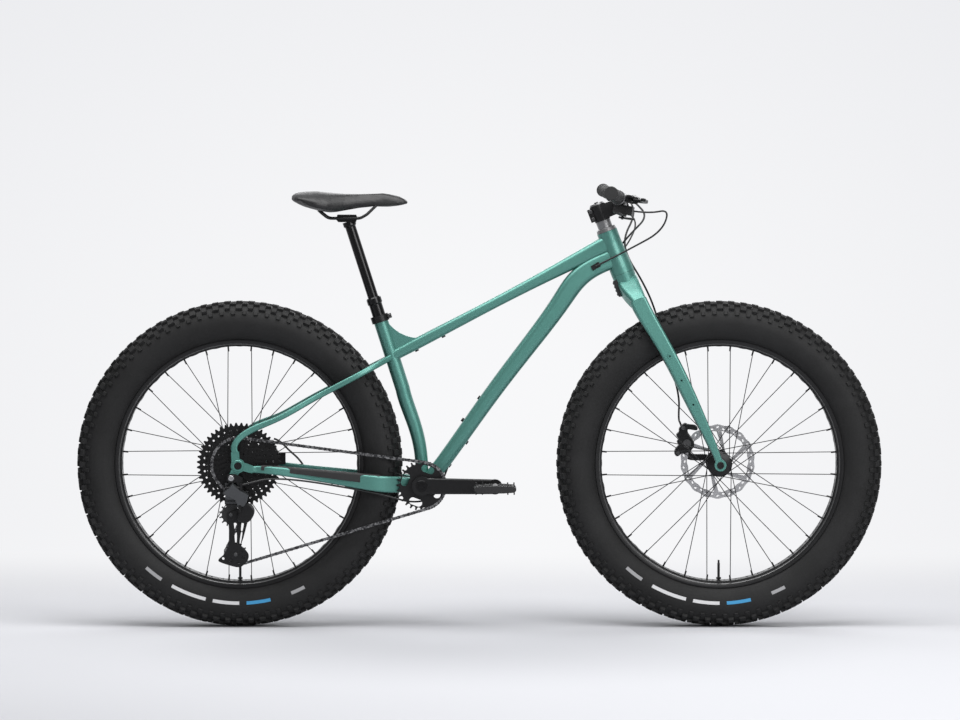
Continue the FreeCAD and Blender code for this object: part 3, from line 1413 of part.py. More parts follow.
def make_cables(end, ports):
    def right(x, y, z):
        return end.point(x, y, z)

    def left(x, y, z):
        point = end.point(x, y, z)
        return Vector(point.x, -point.y, point.z)

    def world(x, y, z):
        return Vector(x, y, z)

    port = world(down_bend_x.value + 57, 28, down_bend_z.value + 50)
    near = world(port.x, -port.y, port.z)
    shift = cable("shift_loop", [
        right(30, -22, 1.8), right(66, -18, -42), world(452, -112, 1002), world(434, -78, 948),
        world(362, -48, 908), near + Vector(16, -5, 8), near], 2.2, 90)
    rear_hose = cable("rear_hose_loop", [
        right(25, 2, 7.8), right(27, 2, -32), world(402, -72, 985), world(364, 30, 942),
        world(334, 58, 905), port + Vector(17, 6, 13), port + Vector(2, 0, 3)], 2.4, 90)
    remote = cable("dropper_loop", [
        left(12, -22, 9.8), left(20, -24, -24), world(384, 112, 968), world(358, 74, 914),
        world(326, 48, 882), port + Vector(12, 6, -6), port + Vector(-4, 0, -4)], 2.0, 80)
    right_port, left_port = ports
    keep("cockpit_cables",
         cut("shift_loop", shift, nodes_by("shifter_body"), right_port, down_outer),
         cut("rear_hose_loop", rear_hose, left_port, down_outer),
         cut("dropper_loop", remote, nodes_by("dropper_remote"), left_port, down_outer))
    foot = steer.then(size.fork_offset.value, 0, -size.fork_length.value)
    front_hose = cable("front_hose", [
        left(25, 2, 7.8), left(27, 2, -32), world(376, 92, 985), steer.point(33, 50, 78),
        steer.point(24, 52, 32), steer.point(38, 72, -34), steer.point(44, 96, -110), steer.point(30, 99, -240),
        steer.point(24, 98, -330), foot.point(-52, 94, 126), foot.point(-50, 70, 118),
        foot.point(-55, 68, 50)], 2.4, 60)
    keep("front_brake_hose", cut("front_hose", front_hose, nodes_by("front_caliper")))
    side = -(half_tyre + 14).value
    under = world(stay_x(0.80).value, side - 2, bb_z.value - 22)
    housing = cable("shift_housing", [
        world(bb_x.value + 64, -12, bb_z.value + 47), world(bb_x.value + 38, -24, bb_z.value - 30),
        world(bb_x.value - 20, -46, bb_z.value - 44), under,
        world(stay_x(0.63).value, side - 3, axle_z.value - 57),
        world(stay_x(0.34).value, -84, axle_z.value - 35),
        world(rear_x.value + 70, -101, axle_z.value - 30), world(rear_x.value + 34, -112, axle_z.value - 39),
        world(rear_x.value + 11.1, -116, axle_z.value - 44)], 2.2, 60)
    stay_top = axle_z.value - 2
    hose = cable("rear_hose", [
        world(stay_x(0.34).value, 84, axle_z.value - 10), world(stay_x(0.32).value, 85, stay_top + 6),
        world(rear_x.value + 112, 84, stay_top + 30), world(rear_x.value + 92, 82, stay_top + 52),
        world(rear_x.value + 78, 82, stay_top + 56)], 2.4, 30)
    left_stay = mirrored("stay_space", chainstay_outer)
    keep("frame_cables", cut("shift_housing", housing, down_outer, nodes_by("derailleur_base")),
         cut("rear_hose", hose, left_stay, nodes_by("rear_caliper")))


make_head_tube()
make_bearings()
make_seat_tube()
make_top_tube()
make_down_tube()
make_bb_shell()
make_stays()
make_rear_axle()
make_seat_collar()
saddle_seat = make_post()
make_rails(saddle_seat, make_saddle(saddle_seat))
make_tyres()
make_rims()
make_spokes()
make_hubs()
make_rotor("front_rotor", front_axle_spot, 60, size.front_rotor_radius)
make_rotor("rear_rotor", rear_axle_spot, 78, size.rear_rotor_radius)
make_chain()
make_cassette()
make_chainring()
make_crankset()
make_pedal("pedal_right", right_crank)
make_pedal("pedal_left", left_crank)
make_derailleur_base()
make_link("outer_link", OUTER_TOP, OUTER_LOW, 5)
make_link("inner_link", INNER_TOP, INNER_LOW, 4.5)
make_knuckle()
make_cage()
make_pulley("guide_pulley", GUIDE_ARM, guide_wheel)
make_pulley("tension_pulley", TENSION_ARM, tension_wheel)
make_fork()
make_steerer()
bar_clamp = make_stem()
bar_end, bar_reach = make_handlebar(bar_clamp.then(turns=[(ALONG_Y, 90 - size.head_angle)]))
make_grips(bar_end, bar_reach)
controls = bar_end.then(turns=[(ALONG_Z, -size.control_droop)])
make_brake_controls(controls)
make_shifter(controls)
make_remote(controls)
make_calipers()
cable_ports = make_fittings()
make_cables(controls, cable_ports)

doc.recompute()

problems = []
for item in doc.Objects:
    if "Invalid" in item.State or "Error" in item.State:
        problems.append(f"{item.Name} is {item.State}")
for item in nodes:
    if item.Shape.isNull() or not item.Shape.isValid():
        problems.append(f"{item.Label} has no valid shape")
if problems:
    print("\n".join(problems))
    raise SystemExit("the model is not whole")
for item in nodes:
    solids = len(item.Shape.Solids)
    print(f"{item.Label}: {solids} solids, volume {item.Shape.Volume / 1000:.1f} cm3")
    item.Shape.exportStep(f"parts/{item.Label}.step")
print("files", len(nodes))
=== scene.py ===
import json
import math
import bmesh
import bpy
from mathutils import Matrix, Vector


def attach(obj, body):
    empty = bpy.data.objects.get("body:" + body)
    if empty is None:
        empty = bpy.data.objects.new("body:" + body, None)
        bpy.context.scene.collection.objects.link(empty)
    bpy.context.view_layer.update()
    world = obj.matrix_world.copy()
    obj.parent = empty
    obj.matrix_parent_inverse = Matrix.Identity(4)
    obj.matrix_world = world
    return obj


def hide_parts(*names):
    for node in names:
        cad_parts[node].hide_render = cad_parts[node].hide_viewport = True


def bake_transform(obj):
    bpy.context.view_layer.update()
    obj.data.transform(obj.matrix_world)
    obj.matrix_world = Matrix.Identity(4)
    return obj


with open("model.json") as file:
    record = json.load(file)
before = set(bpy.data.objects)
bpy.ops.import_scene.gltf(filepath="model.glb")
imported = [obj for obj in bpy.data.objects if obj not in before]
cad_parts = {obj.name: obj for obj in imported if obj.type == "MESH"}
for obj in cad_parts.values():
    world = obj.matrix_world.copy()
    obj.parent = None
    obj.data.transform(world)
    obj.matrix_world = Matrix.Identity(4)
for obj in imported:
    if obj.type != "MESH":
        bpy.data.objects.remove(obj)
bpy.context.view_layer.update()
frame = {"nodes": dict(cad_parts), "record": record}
nodes = frame["nodes"]
scene = bpy.context.scene

# Main sizes of the bike, in metres, as in the model
REAR = Vector((-0.575, 0, 0.391))
FRONT = Vector((0.575, 0, 0.391))
BB = Vector((-0.575 + math.sqrt(0.440 ** 2 - 0.050 ** 2), 0, 0.341))
HEAD_ANGLE = math.radians(69)
SEAT_ANGLE = math.radians(72.2)
FORK_OFFSET = 0.052
FORK_LENGTH = 0.509
HEAD_TUBE = 0.107
SPACERS = 0.028
STEM_HALF = 0.020
STEM_REACH = 0.051
STEM_LEVEL = HEAD_TUBE + SPACERS + STEM_HALF
SEAT_TUBE = 0.425
POST_SLEEVE = 0.046
STANCHION_SHOWN = 0.177
POST_HEAD = 0.022
RIGHT = Vector((0, -1, 0))
STEER_UP = Vector((-math.cos(HEAD_ANGLE), 0, math.sin(HEAD_ANGLE)))
STEER_AHEAD = Vector((math.sin(HEAD_ANGLE), 0, math.cos(HEAD_ANGLE)))
HEAD = FRONT - STEER_AHEAD * FORK_OFFSET + STEER_UP * FORK_LENGTH
POST_UP = Vector((-math.cos(SEAT_ANGLE), 0, math.sin(SEAT_ANGLE)))
POST_FOOT = BB + Vector((0.027, 0, 0))
SADDLE_SEAT = POST_FOOT + POST_UP * (SEAT_TUBE + POST_SLEEVE + STANCHION_SHOWN + POST_HEAD)
STEER = Matrix.Translation(HEAD) @ Matrix.Rotation(HEAD_ANGLE - math.pi / 2, 4, "Y")

# Handlebar: half width, rise, and the angles of its ends in degrees
BAR_HALF = 0.375
BAR_RISE = 0.015
BAR_BACK = 9
BAR_UP = 5
CONTROL_DROOP = 10
BAR_BEND = 0.112 + BAR_RISE / math.tan(math.radians(12))
BAR_MIDDLE = STEER @ Vector((STEM_REACH, 0, STEM_LEVEL))
BAR = (Matrix.Translation(BAR_MIDDLE + Vector((0, -BAR_BEND, BAR_RISE)))
       @ Matrix.Rotation(math.radians(-BAR_BACK), 4, "Z")
       @ Matrix.Rotation(math.radians(90 - BAR_UP), 4, "X"))
CONTROLS = BAR @ Matrix.Rotation(math.radians(-CONTROL_DROOP), 4, "Z")
BAR_REACH = (BAR_HALF - BAR_BEND) / (math.cos(math.radians(BAR_BACK)) * math.cos(math.radians(BAR_UP)))

# Counts and the rim's sizes
SPOKES = 32
PITCHES = 42
RIM_INNER = 0.282
RIM_OUTER = 0.2838
RIM_HALF = 0.0235


def steer_point(ahead, side, along):
    return STEER @ Vector((ahead, side, along))


def right_bar(x, y, z, at=BAR):
    return at @ Vector((x, y, z))


def left_bar(x, y, z, at=BAR):
    point = at @ Vector((x, y, z))
    return Vector((point.x, -point.y, point.z))


def right_control(x, y, z):
    return right_bar(x, y, z, CONTROLS)


def left_control(x, y, z):
    return left_bar(x, y, z, CONTROLS)


# Material helpers
def new_material(name, color, roughness, metallic=0.0, **sockets):
    material = bpy.data.materials.new(name)
    material.use_nodes = True
    shader = material.node_tree.nodes["Principled BSDF"]
    shader.inputs["Base Color"].default_value = (*color, 1)
    shader.inputs["Roughness"].default_value = roughness
    shader.inputs["Metallic"].default_value = metallic
    for socket, value in sockets.items():
        shader.inputs[socket.replace("_", " ").title().replace("Ior", "IOR")].default_value = value
    return material


def add_node(material, kind, **inputs):
    node = material.node_tree.nodes.new(kind)
    for name, value in inputs.items():
        node.inputs[name.replace("_", " ").title()].default_value = value
    return node


def link(material, source, target):
    material.node_tree.links.new(source, target)


def shader_of(material):
    return material.node_tree.nodes["Principled BSDF"]


def object_place(material, stretch=(1, 1, 1)):
    """Positions in the object's own space, stretched along each direction."""
    place = material.node_tree.nodes.new("ShaderNodeTexCoord")
    mapping = material.node_tree.nodes.new("ShaderNodeMapping")
    mapping.inputs["Scale"].default_value = stretch
    link(material, place.outputs["Object"], mapping.inputs["Vector"])
    return mapping.outputs["Vector"]


def noise(material, scale, detail=3, stretch=(1, 1, 1)):
    node = add_node(material, "ShaderNodeTexNoise", scale=scale, detail=detail)
    link(material, object_place(material, stretch), node.inputs["Vector"])
    return node.outputs["Fac"]


def vary_roughness(material, source, low, high):
    spread = add_node(material, "ShaderNodeMapRange", to_min=low, to_max=high)
    link(material, source, spread.inputs["Value"])
    link(material, spread.outputs["Result"], shader_of(material).inputs["Roughness"])


def ramp(material, source, dark, light, low, high):
    """Colours between a dark and a light end."""
    node = material.node_tree.nodes.new("ShaderNodeValToRGB")
    for number, position, color in ((0, low, dark), (1, high, light)):
        node.color_ramp.elements[number].position = position
        node.color_ramp.elements[number].color = (*color, 1)
    link(material, source, node.inputs["Fac"])
    return node.outputs["Color"]


def vary_color(material, source, dark, light, low, high):
    color = ramp(material, source, dark, light, low, high)
    link(material, color, shader_of(material).inputs["Base Color"])


def bump(material, source, strength, distance):
    node = add_node(material, "ShaderNodeBump", strength=strength, distance=distance)
    link(material, source, node.inputs["Height"])
    link(material, node.outputs["Normal"], shader_of(material).inputs["Normal"])


# Materials
def paint_material():
    """Glossy metallic paint with fine flake under a clear coat."""
    material = new_material("frame_paint", (0.05, 0.25, 0.2), 0.45, 0.75, coat_weight=0.4, coat_roughness=0.2)
    flake = noise(material, 2600, 1)
    vary_color(material, flake, (0.060, 0.196, 0.168), (0.124, 0.330, 0.284), 0.3, 0.72)
    bump(material, flake, 0.02, 0.0002)
    return material


def black_metal_material(name="black_metal", shade=0.012, low=0.28, high=0.44):
    """Satin black anodised metal."""
    material = new_material(name, (shade, shade, shade * 1.06), 0.35, 0.5)
    vary_roughness(material, noise(material, 90, 4), low, high)
    bump(material, noise(material, 1800, 2), 0.04, 0.0002)
    return material


def grey_metal_material():
    material = new_material("grey_metal", (0.085, 0.088, 0.092), 0.35, 0.8)
    vary_roughness(material, noise(material, 120, 4), 0.28, 0.42)
    return material


def steel_material(name="steel", shade=0.42, low=0.2, high=0.34):
    """Brushed steel."""
    material = new_material(name, (shade, shade, shade * 1.02), 0.28, 1.0)
    vary_roughness(material, noise(material, 160, 5, (1, 0.05, 1)), low, high)
    bump(material, noise(material, 700, 2, (1, 0.05, 1)), 0.05, 0.0002)
    return material


def chain_material():
    """Dark oiled steel with bright worn plates."""
    material = new_material("chain_steel", (0.12, 0.12, 0.125), 0.3, 1.0)
    wear = noise(material, 240, 2)
    vary_color(material, wear, (0.05, 0.05, 0.053), (0.34, 0.34, 0.345), 0.42, 0.66)
    vary_roughness(material, wear, 0.22, 0.4)
    return material


def tyre_material():
    """Matt rubber with fine moulding grain."""
    material = new_material("tyre_rubber", (0.007, 0.007, 0.0072), 0.7, specular_ior_level=0.38)
    grain = noise(material, 320, 4)
    vary_color(material, noise(material, 14, 5), (0.005, 0.005, 0.0052), (0.0095, 0.0095, 0.0099), 0.35, 0.7)
    vary_roughness(material, grain, 0.55, 0.82)
    bump(material, grain, 0.12, 0.0006)
    return material


def rubber_material():
    material = new_material("grip_rubber", (0.011, 0.011, 0.0115), 0.62)
    vary_roughness(material, noise(material, 210, 3), 0.5, 0.74)
    bump(material, noise(material, 900, 2), 0.1, 0.0003)
    return material


def hose_material():
    material = new_material("hose_black", (0.01, 0.01, 0.0105), 0.36)
    vary_roughness(material, noise(material, 300, 2), 0.3, 0.44)
    return material


def plastic_material():
    material = new_material("black_plastic", (0.013, 0.013, 0.0138), 0.45)
    vary_roughness(material, noise(material, 260, 3), 0.38, 0.56)
    bump(material, noise(material, 1500, 2), 0.08, 0.0002)
    return material


def saddle_material():
    """Fine-grained synthetic cover."""
    material = new_material("saddle_cover", (0.008, 0.008, 0.0086), 0.5)
    cells = add_node(material, "ShaderNodeTexVoronoi", scale=620)
    link(material, object_place(material), cells.inputs["Vector"])
    vary_roughness(material, noise(material, 60, 4), 0.4, 0.56)
    bump(material, cells.outputs["Distance"], 0.12, 0.0004)
    return material


def vector_step(material, operation, source, value):
    node = material.node_tree.nodes.new("ShaderNodeVectorMath")
    node.operation = operation
    node.inputs[1].default_value = value
    link(material, source, node.inputs[0])
    return node.outputs["Value" if operation == "DISTANCE" else "Vector"]


def number_step(material, operation, first, second):
    node = material.node_tree.nodes.new("ShaderNodeMath")
    node.operation = operation
    link(material, first, node.inputs[0])
    link(material, second, node.inputs[1])
    return node.outputs["Value"]


def spread(material, source, low, high, kind="LINEAR"):
    """A value that goes from 0 to 1 between two ends."""
    node = add_node(material, "ShaderNodeMapRange", from_min=low, from_max=high)
    node.interpolation_type = kind
    link(material, source, node.inputs["Value"])
    return node.outputs["Result"]


def floor_material():
    """Pale floor with a painted shadow under the bike; its far part glows white for camera, glossy and
    transmission rays, with painted falloff darker away from the middle.
    """
    material = new_material("pale_floor", (0.60, 0.60, 0.625), 0.9)
    tree = material.node_tree
    geometry = tree.nodes.new("ShaderNodeNewGeometry")
    position = geometry.outputs["Position"]
    # Painted shadow: the floor's colour darkens in a soft ellipse under the bike and stands in for its
    # shadow.
    painted_shadow_space = vector_step(material, "MULTIPLY", position, (1 / 1.05, 1 / 1.15, 0))
    ring = vector_step(material, "DISTANCE", painted_shadow_space, (0, -0.28, 0))
    near = spread(material, ring, 0.15, 1.0, "SMOOTHSTEP")
    vary_color(material, near, (0.47, 0.475, 0.50), (0.60, 0.605, 0.632), 0.0, 1.0)
    parts = tree.nodes.new("ShaderNodeSeparateXYZ")
    link(material, position, parts.inputs["Vector"])
    far = spread(material, parts.outputs["Y"], 0.25, 2.2, "SMOOTHSTEP")
    rays = tree.nodes.new("ShaderNodeLightPath")
    seen = rays.outputs["Is Camera Ray"]
    for kind in ("Is Glossy Ray", "Is Transmission Ray"):
        seen = number_step(material, "MAXIMUM", seen, rays.outputs[kind])
    share = number_step(material, "MULTIPLY", seen, far)
    # Painted light falloff: the glow's colour darkens with distance from the middle, so the backdrop is
    # painted darker towards its edges.
    flat = vector_step(material, "MULTIPLY", position, (0.7, 0.0, 1.0))
    middle = vector_step(material, "DISTANCE", flat, (0.0, 0.0, 0.3))
    reach = spread(material, middle, 0.0, 2.0)
    shade = ramp(material, reach, (0.935, 0.937, 0.95), (0.83, 0.835, 0.86), 0.15, 1.0)
    glow = add_node(material, "ShaderNodeEmission", strength=1.0)
    link(material, shade, glow.inputs["Color"])
    mix = tree.nodes.new("ShaderNodeMixShader")
    link(material, share, mix.inputs["Fac"])
    link(material, shader_of(material).outputs["BSDF"], mix.inputs[1])
    link(material, glow.outputs["Emission"], mix.inputs[2])
    link(material, mix.outputs["Shader"], tree.nodes["Material Output"].inputs["Surface"])
    return material


paint = paint_material()
black_metal = black_metal_material()
gloss_black = black_metal_material("stanchion_black", 0.009, 0.12, 0.2)
grey_metal = grey_metal_material()
steel = steel_material(shade=0.52)
dark_steel = steel_material("dark_steel", 0.11, 0.28, 0.42)
spacer_grey = steel_material("spacer_grey", 0.26, 0.34, 0.5)
cog_black = black_metal_material("cog_black", 0.007, 0.36, 0.52)
chain_steel = chain_material()
tyre_rubber = tyre_material()
grip_rubber = rubber_material()
hose_black = hose_material()
black_plastic = plastic_material()
saddle_cover = saddle_material()


# Mesh helpers
def mesh_object(name, verts, faces, material, smooth=None):
    mesh = bpy.data.meshes.new(name)
    mesh.from_pydata([tuple(v) for v in verts], [], faces)
    mesh.materials.append(material)
    return shown(name, mesh, smooth)


def shown(name, mesh, smooth=None):
    made = bmesh.new()
    made.from_mesh(mesh)
    bmesh.ops.recalc_face_normals(made, faces=made.faces)
    made.to_mesh(mesh)
    made.free()
    if smooth is not None:
        mesh.shade_smooth()
        mesh.set_sharp_from_angle(angle=math.radians(smooth))
    obj = bpy.data.objects.new(name, mesh)
    scene.collection.objects.link(obj)
    return obj


def place(obj, body, slot, *stands_for):
    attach(obj, body)
    if stands_for:
        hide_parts(*stands_for)
    return obj


def put(name, pieces, material, smooth, body, slot, *stands_for, centre=Vector((0, 0, 0))):
    """Places one piece made from several lists of verts and faces."""
    verts, faces = join(pieces)
    made = mesh_object(name, [centre + v for v in verts], faces, material, smooth)
    return place(made, body, slot, *stands_for)


def turns(count):
    """Angles of even steps round a circle."""
    return [2 * math.pi * n / count for n in range(count)]


def signed_power(value, power):
    return math.copysign(abs(value) ** power, value)


def wheel_spot(radius, angle, side=0.0):
    """A place on a wheel, from its centre."""
    return Vector((radius * math.cos(angle), side, radius * math.sin(angle)))


def ring_at(point, across, other, reach, sides):
    return [point + (across * math.cos(angle) + other * math.sin(angle)) * reach for angle in turns(sides)]


def end_faces(verts, sides):
    """Faces that close the first and the last ring."""
    return [tuple(range(sides)), tuple(range(len(verts) - sides, len(verts)))]


def smooth_line(points, steps):
    """Points of a smooth line through the given ones."""
    made = []
    count = len(points)
    for n in range(count - 1):
        before = points[max(n - 1, 0)]
        start, end = points[n], points[n + 1]
        after = points[min(n + 2, count - 1)]
        for step in range(steps):
            t = step / steps
            made.append(tuple(
                0.5 * (2 * b + (c - a) * t + (2 * a - 5 * b + 4 * c - d) * t * t
                       + (3 * b - a - 3 * c + d) * t ** 3)
                for a, b, c, d in zip(before, start, end, after)))
    made.append(tuple(points[-1]))
    return made


def smooth_loop(points, steps):
    """Points of a smooth closed line through the given ones."""
    around = [points[-1], *points, points[0], points[1]]
    line = smooth_line(around, steps)
    return line[steps:steps * (len(points) + 1)]


def ring_faces(rows, columns, close_rows=False, close_columns=True):
    faces = []
    for row in range(rows if close_rows else rows - 1):
        for column in range(columns if close_columns else columns - 1):
            after_row = (row + 1) % rows
            after = (column + 1) % columns
            faces.append((row * columns + column, row * columns + after,
                          after_row * columns + after, after_row * columns + column))
    return faces


def lathe(name, centre, profile, segments, material, smooth, closed=True):
    """Turns a profile of radius and side about the wheel's axle."""
    verts = []
    for angle in turns(segments):
        verts += [centre + wheel_spot(radius, angle, side) for radius, side in profile]
    return mesh_object(name, verts, ring_faces(segments, len(profile), True, closed), material, smooth)


def sweep(points, radius, sides):
    """Verts and faces of a round tube along points, with closed ends."""
    verts = []
    across = None
    last = len(points) - 1
    for n, point in enumerate(points):
        run = (points[min(n + 1, last)] - points[max(n - 1, 0)]).normalized()
        if across is None:
            across = run.orthogonal().normalized()
        across = (across - run * across.dot(run)).normalized()
        verts += ring_at(point, across, run.cross(across), radius, sides)
    return verts, ring_faces(len(points), sides) + end_faces(verts, sides)


def join(pieces):
    """One list of verts and faces from several."""
    verts = []
    faces = []
    for more_verts, more_faces in pieces:
        base = len(verts)
        verts += list(more_verts)
        faces += [tuple(base + index for index in face) for face in more_faces]
    return verts, faces


def block(centre, along, across, out, length, width, height, sink=0.002):
    """A moulded block: wide foot, drawn-in sides and a small edge round its top."""
    verts = []
    for lift, share in ((-sink, 1.0), (height * 0.86, 0.9), (height, 0.78)):
        for a, b in ((-1, -1), (1, -1), (1, 1), (-1, 1)):
            verts.append(centre + along * (a * length * share / 2) + across * (b * width * share / 2)
                         + out * lift)
    faces = ring_faces(3, 4)
    faces.append((8, 9, 10, 11))
    faces.append((3, 2, 1, 0))
    return verts, faces


def drum(start, end, radius, sides=16, edge=0.0006):
    """A short round piece with a small edge at both ends."""
    axis = (end - start).normalized()
    across = axis.orthogonal().normalized()
    verts = []
    for point, reach in ((start, radius - edge), (start + axis * edge, radius),
                         (end - axis * edge, radius), (end, radius - edge)):
        verts += ring_at(point, across, axis.cross(across), reach, sides)
    return verts, ring_faces(4, sides) + end_faces(verts, sides)


def curve_mesh(curve):
    """The mesh of a curve's own filled or plain shape."""
    holder = bpy.data.objects.new(curve.name, curve)
    scene.collection.objects.link(holder)
    bpy.context.view_layer.update()
    mesh = bpy.data.meshes.new_from_object(holder.evaluated_get(bpy.context.evaluated_depsgraph_get()))
    bpy.data.objects.remove(holder)
    return mesh


def flat_plate(name, outlines, thickness, edge, matrix, material):
    """A flat piece from outlines, the first its outside and the rest its openings."""
    curve = bpy.data.curves.new(name, "CURVE")
    curve.dimensions = "2D"
    curve.fill_mode = "BOTH"
    curve.extrude = thickness / 2 - edge
    curve.bevel_depth = edge
    curve.bevel_resolution = 1
    for points in outlines:
        spline = curve.splines.new("POLY")
        spline.points.add(len(points) - 1)
        for point, (x, y) in zip(spline.points, points):
            point.co = (x, y, 0, 1)
        spline.use_cyclic_u = True
    mesh = curve_mesh(curve)
    mesh.materials.clear()
    mesh.materials.append(material)
    mesh.transform(matrix)
    return shown(name, mesh, 30)


def put_plate(name, outlines, thickness, edge, matrix, material, body, slot, *stands_for):
    plate = flat_plate(name, outlines, thickness, edge, matrix, material)
    return place(plate, body, slot, *stands_for)


def side_plane(centre, side, turn=0.0):
    """Matrix that stands a flat piece up in the side view, seen from the right."""
    upright = Matrix(((1, 0, 0, 0), (0, 0, -1, 0), (0, 1, 0, 0), (0, 0, 0, 1)))
    return Matrix.Translation(centre + Vector((0, side, 0))) @ Matrix.Rotation(turn, 4, "Y") @ upright


def plane_matrix(first, second, out, centre):
    """Matrix of a flat piece from its two directions, its outward one and its middle."""
    rows = [tuple(axis) for axis in zip(first, second, out, centre)]
    return Matrix((*rows, (0, 0, 0, 1)))


def polar(radius, angle):
    return radius * math.cos(angle), radius * math.sin(angle)


def circle_outline(x, y, radius, sides=32):
    return [(x + radius * math.cos(angle), y + radius * math.sin(angle)) for angle in turns(sides)]


# Tyres
CASING = smooth_line([
    (0.2932, 0.0368), (0.2985, 0.0378), (0.306, 0.0445), (0.320, 0.0518), (0.338, 0.0552), (0.352, 0.0540),
    (0.364, 0.0495), (0.373, 0.0425), (0.379, 0.0325), (0.3832, 0.0195), (0.3848, 0.0)], 4)


def casing_at(side):
    """Radius and outward direction of the casing at a distance from its middle."""
    for (r0, y0), (r1, y1) in zip(CASING[16:], CASING[17:]):
        if y1 <= side <= y0:
            share = (y0 - side) / max(y0 - y1, 1e-9)
            out = Vector((y0 - y1, r1 - r0)).normalized()
            return r0 + (r1 - r0) * share, out
    return CASING[-1][0], Vector((1, 0))


TREAD_ROWS = (
    # place along the pitch, side, length, width, height
    (0.0, 0.0095, 0.0175, 0.0135, 0.0060), (0.5, 0.0115, 0.0135, 0.0125, 0.0060),
    (0.26, 0.0275, 0.0160, 0.0125, 0.0064), (0.76, 0.0290, 0.0130, 0.0115, 0.0064),
    (0.0, 0.0425, 0.0165, 0.0130, 0.0066), (0.5, 0.0420, 0.0130, 0.0150, 0.0066),
    (0.25, 0.0505, 0.0105, 0.0095, 0.0040), (0.75, 0.0505, 0.0090, 0.0095, 0.0040),
)


def tread_block(angle, side, sign, length, width, height):
    radius, out = casing_at(side)
    outward = wheel_spot(1, angle)
    normal = (outward * out.x + Vector((0, sign, 0)) * out.y).normalized()
    along = Vector((-math.sin(angle), 0, math.cos(angle)))
    centre = outward * radius + Vector((0, sign * side, 0))
    return block(centre, along, normal.cross(along), normal, length, width, height)


def make_tyre(name, centre, body):
    mirrored = [(r, -y) for r, y in reversed(CASING[:-1])]
    casing_mesh = lathe(name + "_casing", centre, CASING + mirrored, 168, tyre_rubber, 60, closed=False)
    place(casing_mesh, body, "tyre_rubber", name)
    pieces = []
    for pitch in range(PITCHES):
        for share, side, length, width, height in TREAD_ROWS:
            for sign in (-1, 1):
                shift = 0.0 if sign > 0 else 0.5
                angle = 2 * math.pi * (pitch + share + shift) / PITCHES
                pieces.append(tread_block(angle, side, sign, length, width, height))
    put(name + "_tread", pieces, tyre_rubber, None, body, "tyre_rubber", centre=centre)


# Rims
def rim_sector(angle, span, hole):
    """A stretch of the rim's middle band with one rounded opening."""
    steps = 32
    loops = []
    for radius in (RIM_INNER, RIM_OUTER):
        edge = []
        mouth = []
        for turn in turns(steps):
            c, s = math.cos(turn), math.sin(turn)
            reach = 1 / max(abs(c), abs(s))
            edge.append(wheel_spot(radius, angle + c * reach * span / 2, s * reach * RIM_HALF))
            spot = angle + signed_power(c, 0.6) * hole[0] / RIM_INNER
            mouth.append(wheel_spot(radius, spot, signed_power(s, 0.6) * hole[1]))
        loops += [edge, mouth]
    return loops[0] + loops[1] + loops[3] + loops[2], ring_faces(4, steps)


def make_rim(name, centre, body):
    wall = [(RIM_INNER, RIM_HALF), (0.2868, 0.0285), (0.2885, 0.0385), (0.2915, 0.0398), (0.2972, 0.0400),
            (0.298, 0.0392), (0.298, 0.0376), (0.2962, 0.0370), (0.2935, 0.0370), (0.2905, 0.0295),
            (RIM_OUTER, 0.0238)]
    for label, sign in (("right", -1), ("left", 1)):
        side = lathe(f"{name}_{label}_wall", centre, [(r, y * sign) for r, y in wall], 192, black_metal, 35)
        place(side, body, "black_metal", name)
    span = 2 * math.pi / SPOKES
    sectors = [rim_sector(span * n, span, (0.0165, 0.0125)) for n in range(SPOKES)]
    bulges = [rim_bulge(span * n) for n in range(SPOKES)]
    put(f"{name}_band", sectors, black_metal, 35, body, "black_metal", centre=centre)
    put(f"{name}_strip", bulges, hose_black, 60, body, "grip_rubber", centre=centre)


def rim_bulge(angle):
    """The rim strip swelling through one opening."""
    verts = []
    sides = 20
    for share, lift in ((1.0, -0.0012), (0.8, 0.0002), (0.5, 0.0014), (0.2, 0.002)):
        radius = 0.2822 - lift
        for turn in turns(sides):
            along = 0.0160 * share * math.cos(turn)
            verts.append(wheel_spot(radius, angle + along / radius, 0.0120 * share * math.sin(turn)))
    return verts, ring_faces(4, sides) + end_faces(verts, sides)[1:]


def make_nipples(name, centre, body):
    """Spoke nipples, and the valve at the bottom of the rim."""
    pieces = []
    for n in range(SPOKES):
        out = wheel_spot(1, 2 * math.pi * (n + 0.5) / SPOKES)
        side = Vector((0, -0.008 if n % 2 == 0 else 0.008, 0))
        pieces.append(drum(centre + out * 0.2700 + side, centre + out * 0.2826 + side, 0.0021, 8))
    put(f"{name}_nipples", pieces, black_metal, 40, body, "black_metal")
    out = wheel_spot(1, -math.pi / 2)
    stem = [drum(centre + out * inner, centre + out * outer, radius, sides) for inner, outer, radius, sides in
            ((0.2400, 0.2835, 0.0031, 14), (0.2330, 0.2410, 0.0024, 12), (0.2745, 0.2790, 0.0062, 6))]
    put(f"{name}_valve", stem, black_metal, 40, body, "black_metal")


# Brake rotors
def rotor_outlines(radius):
    """Wavy outside, six leaning windows and rows of slots in the braking band."""
    wave, waves = 0.0011, 18
    outside = [polar(radius - wave * (1 + math.cos(waves * angle)), angle) for angle in turns(216)]
    outlines = [outside, circle_outline(0, 0, 0.0205, 48)]
    inner, outer = 0.029, radius - 0.0165
    for base in turns(6):
        window = [polar(inner, base + math.radians(5 + 46 * step / 12)) for step in range(13)]
        for step in range(17):
            angle = base + math.radians(83 - 51 * step / 16)
            window.append(polar(outer + wave * math.cos(waves * angle), angle))
        outlines.append(window)
    for n, base in enumerate(turns(36)):
        reach = radius - (0.0068 if n % 2 else 0.0108)
        lean = 0.55 if n % 2 else -0.35
        outlines.append(rotor_slot(reach, base, 0.0066, 0.0019, lean))
    return outlines


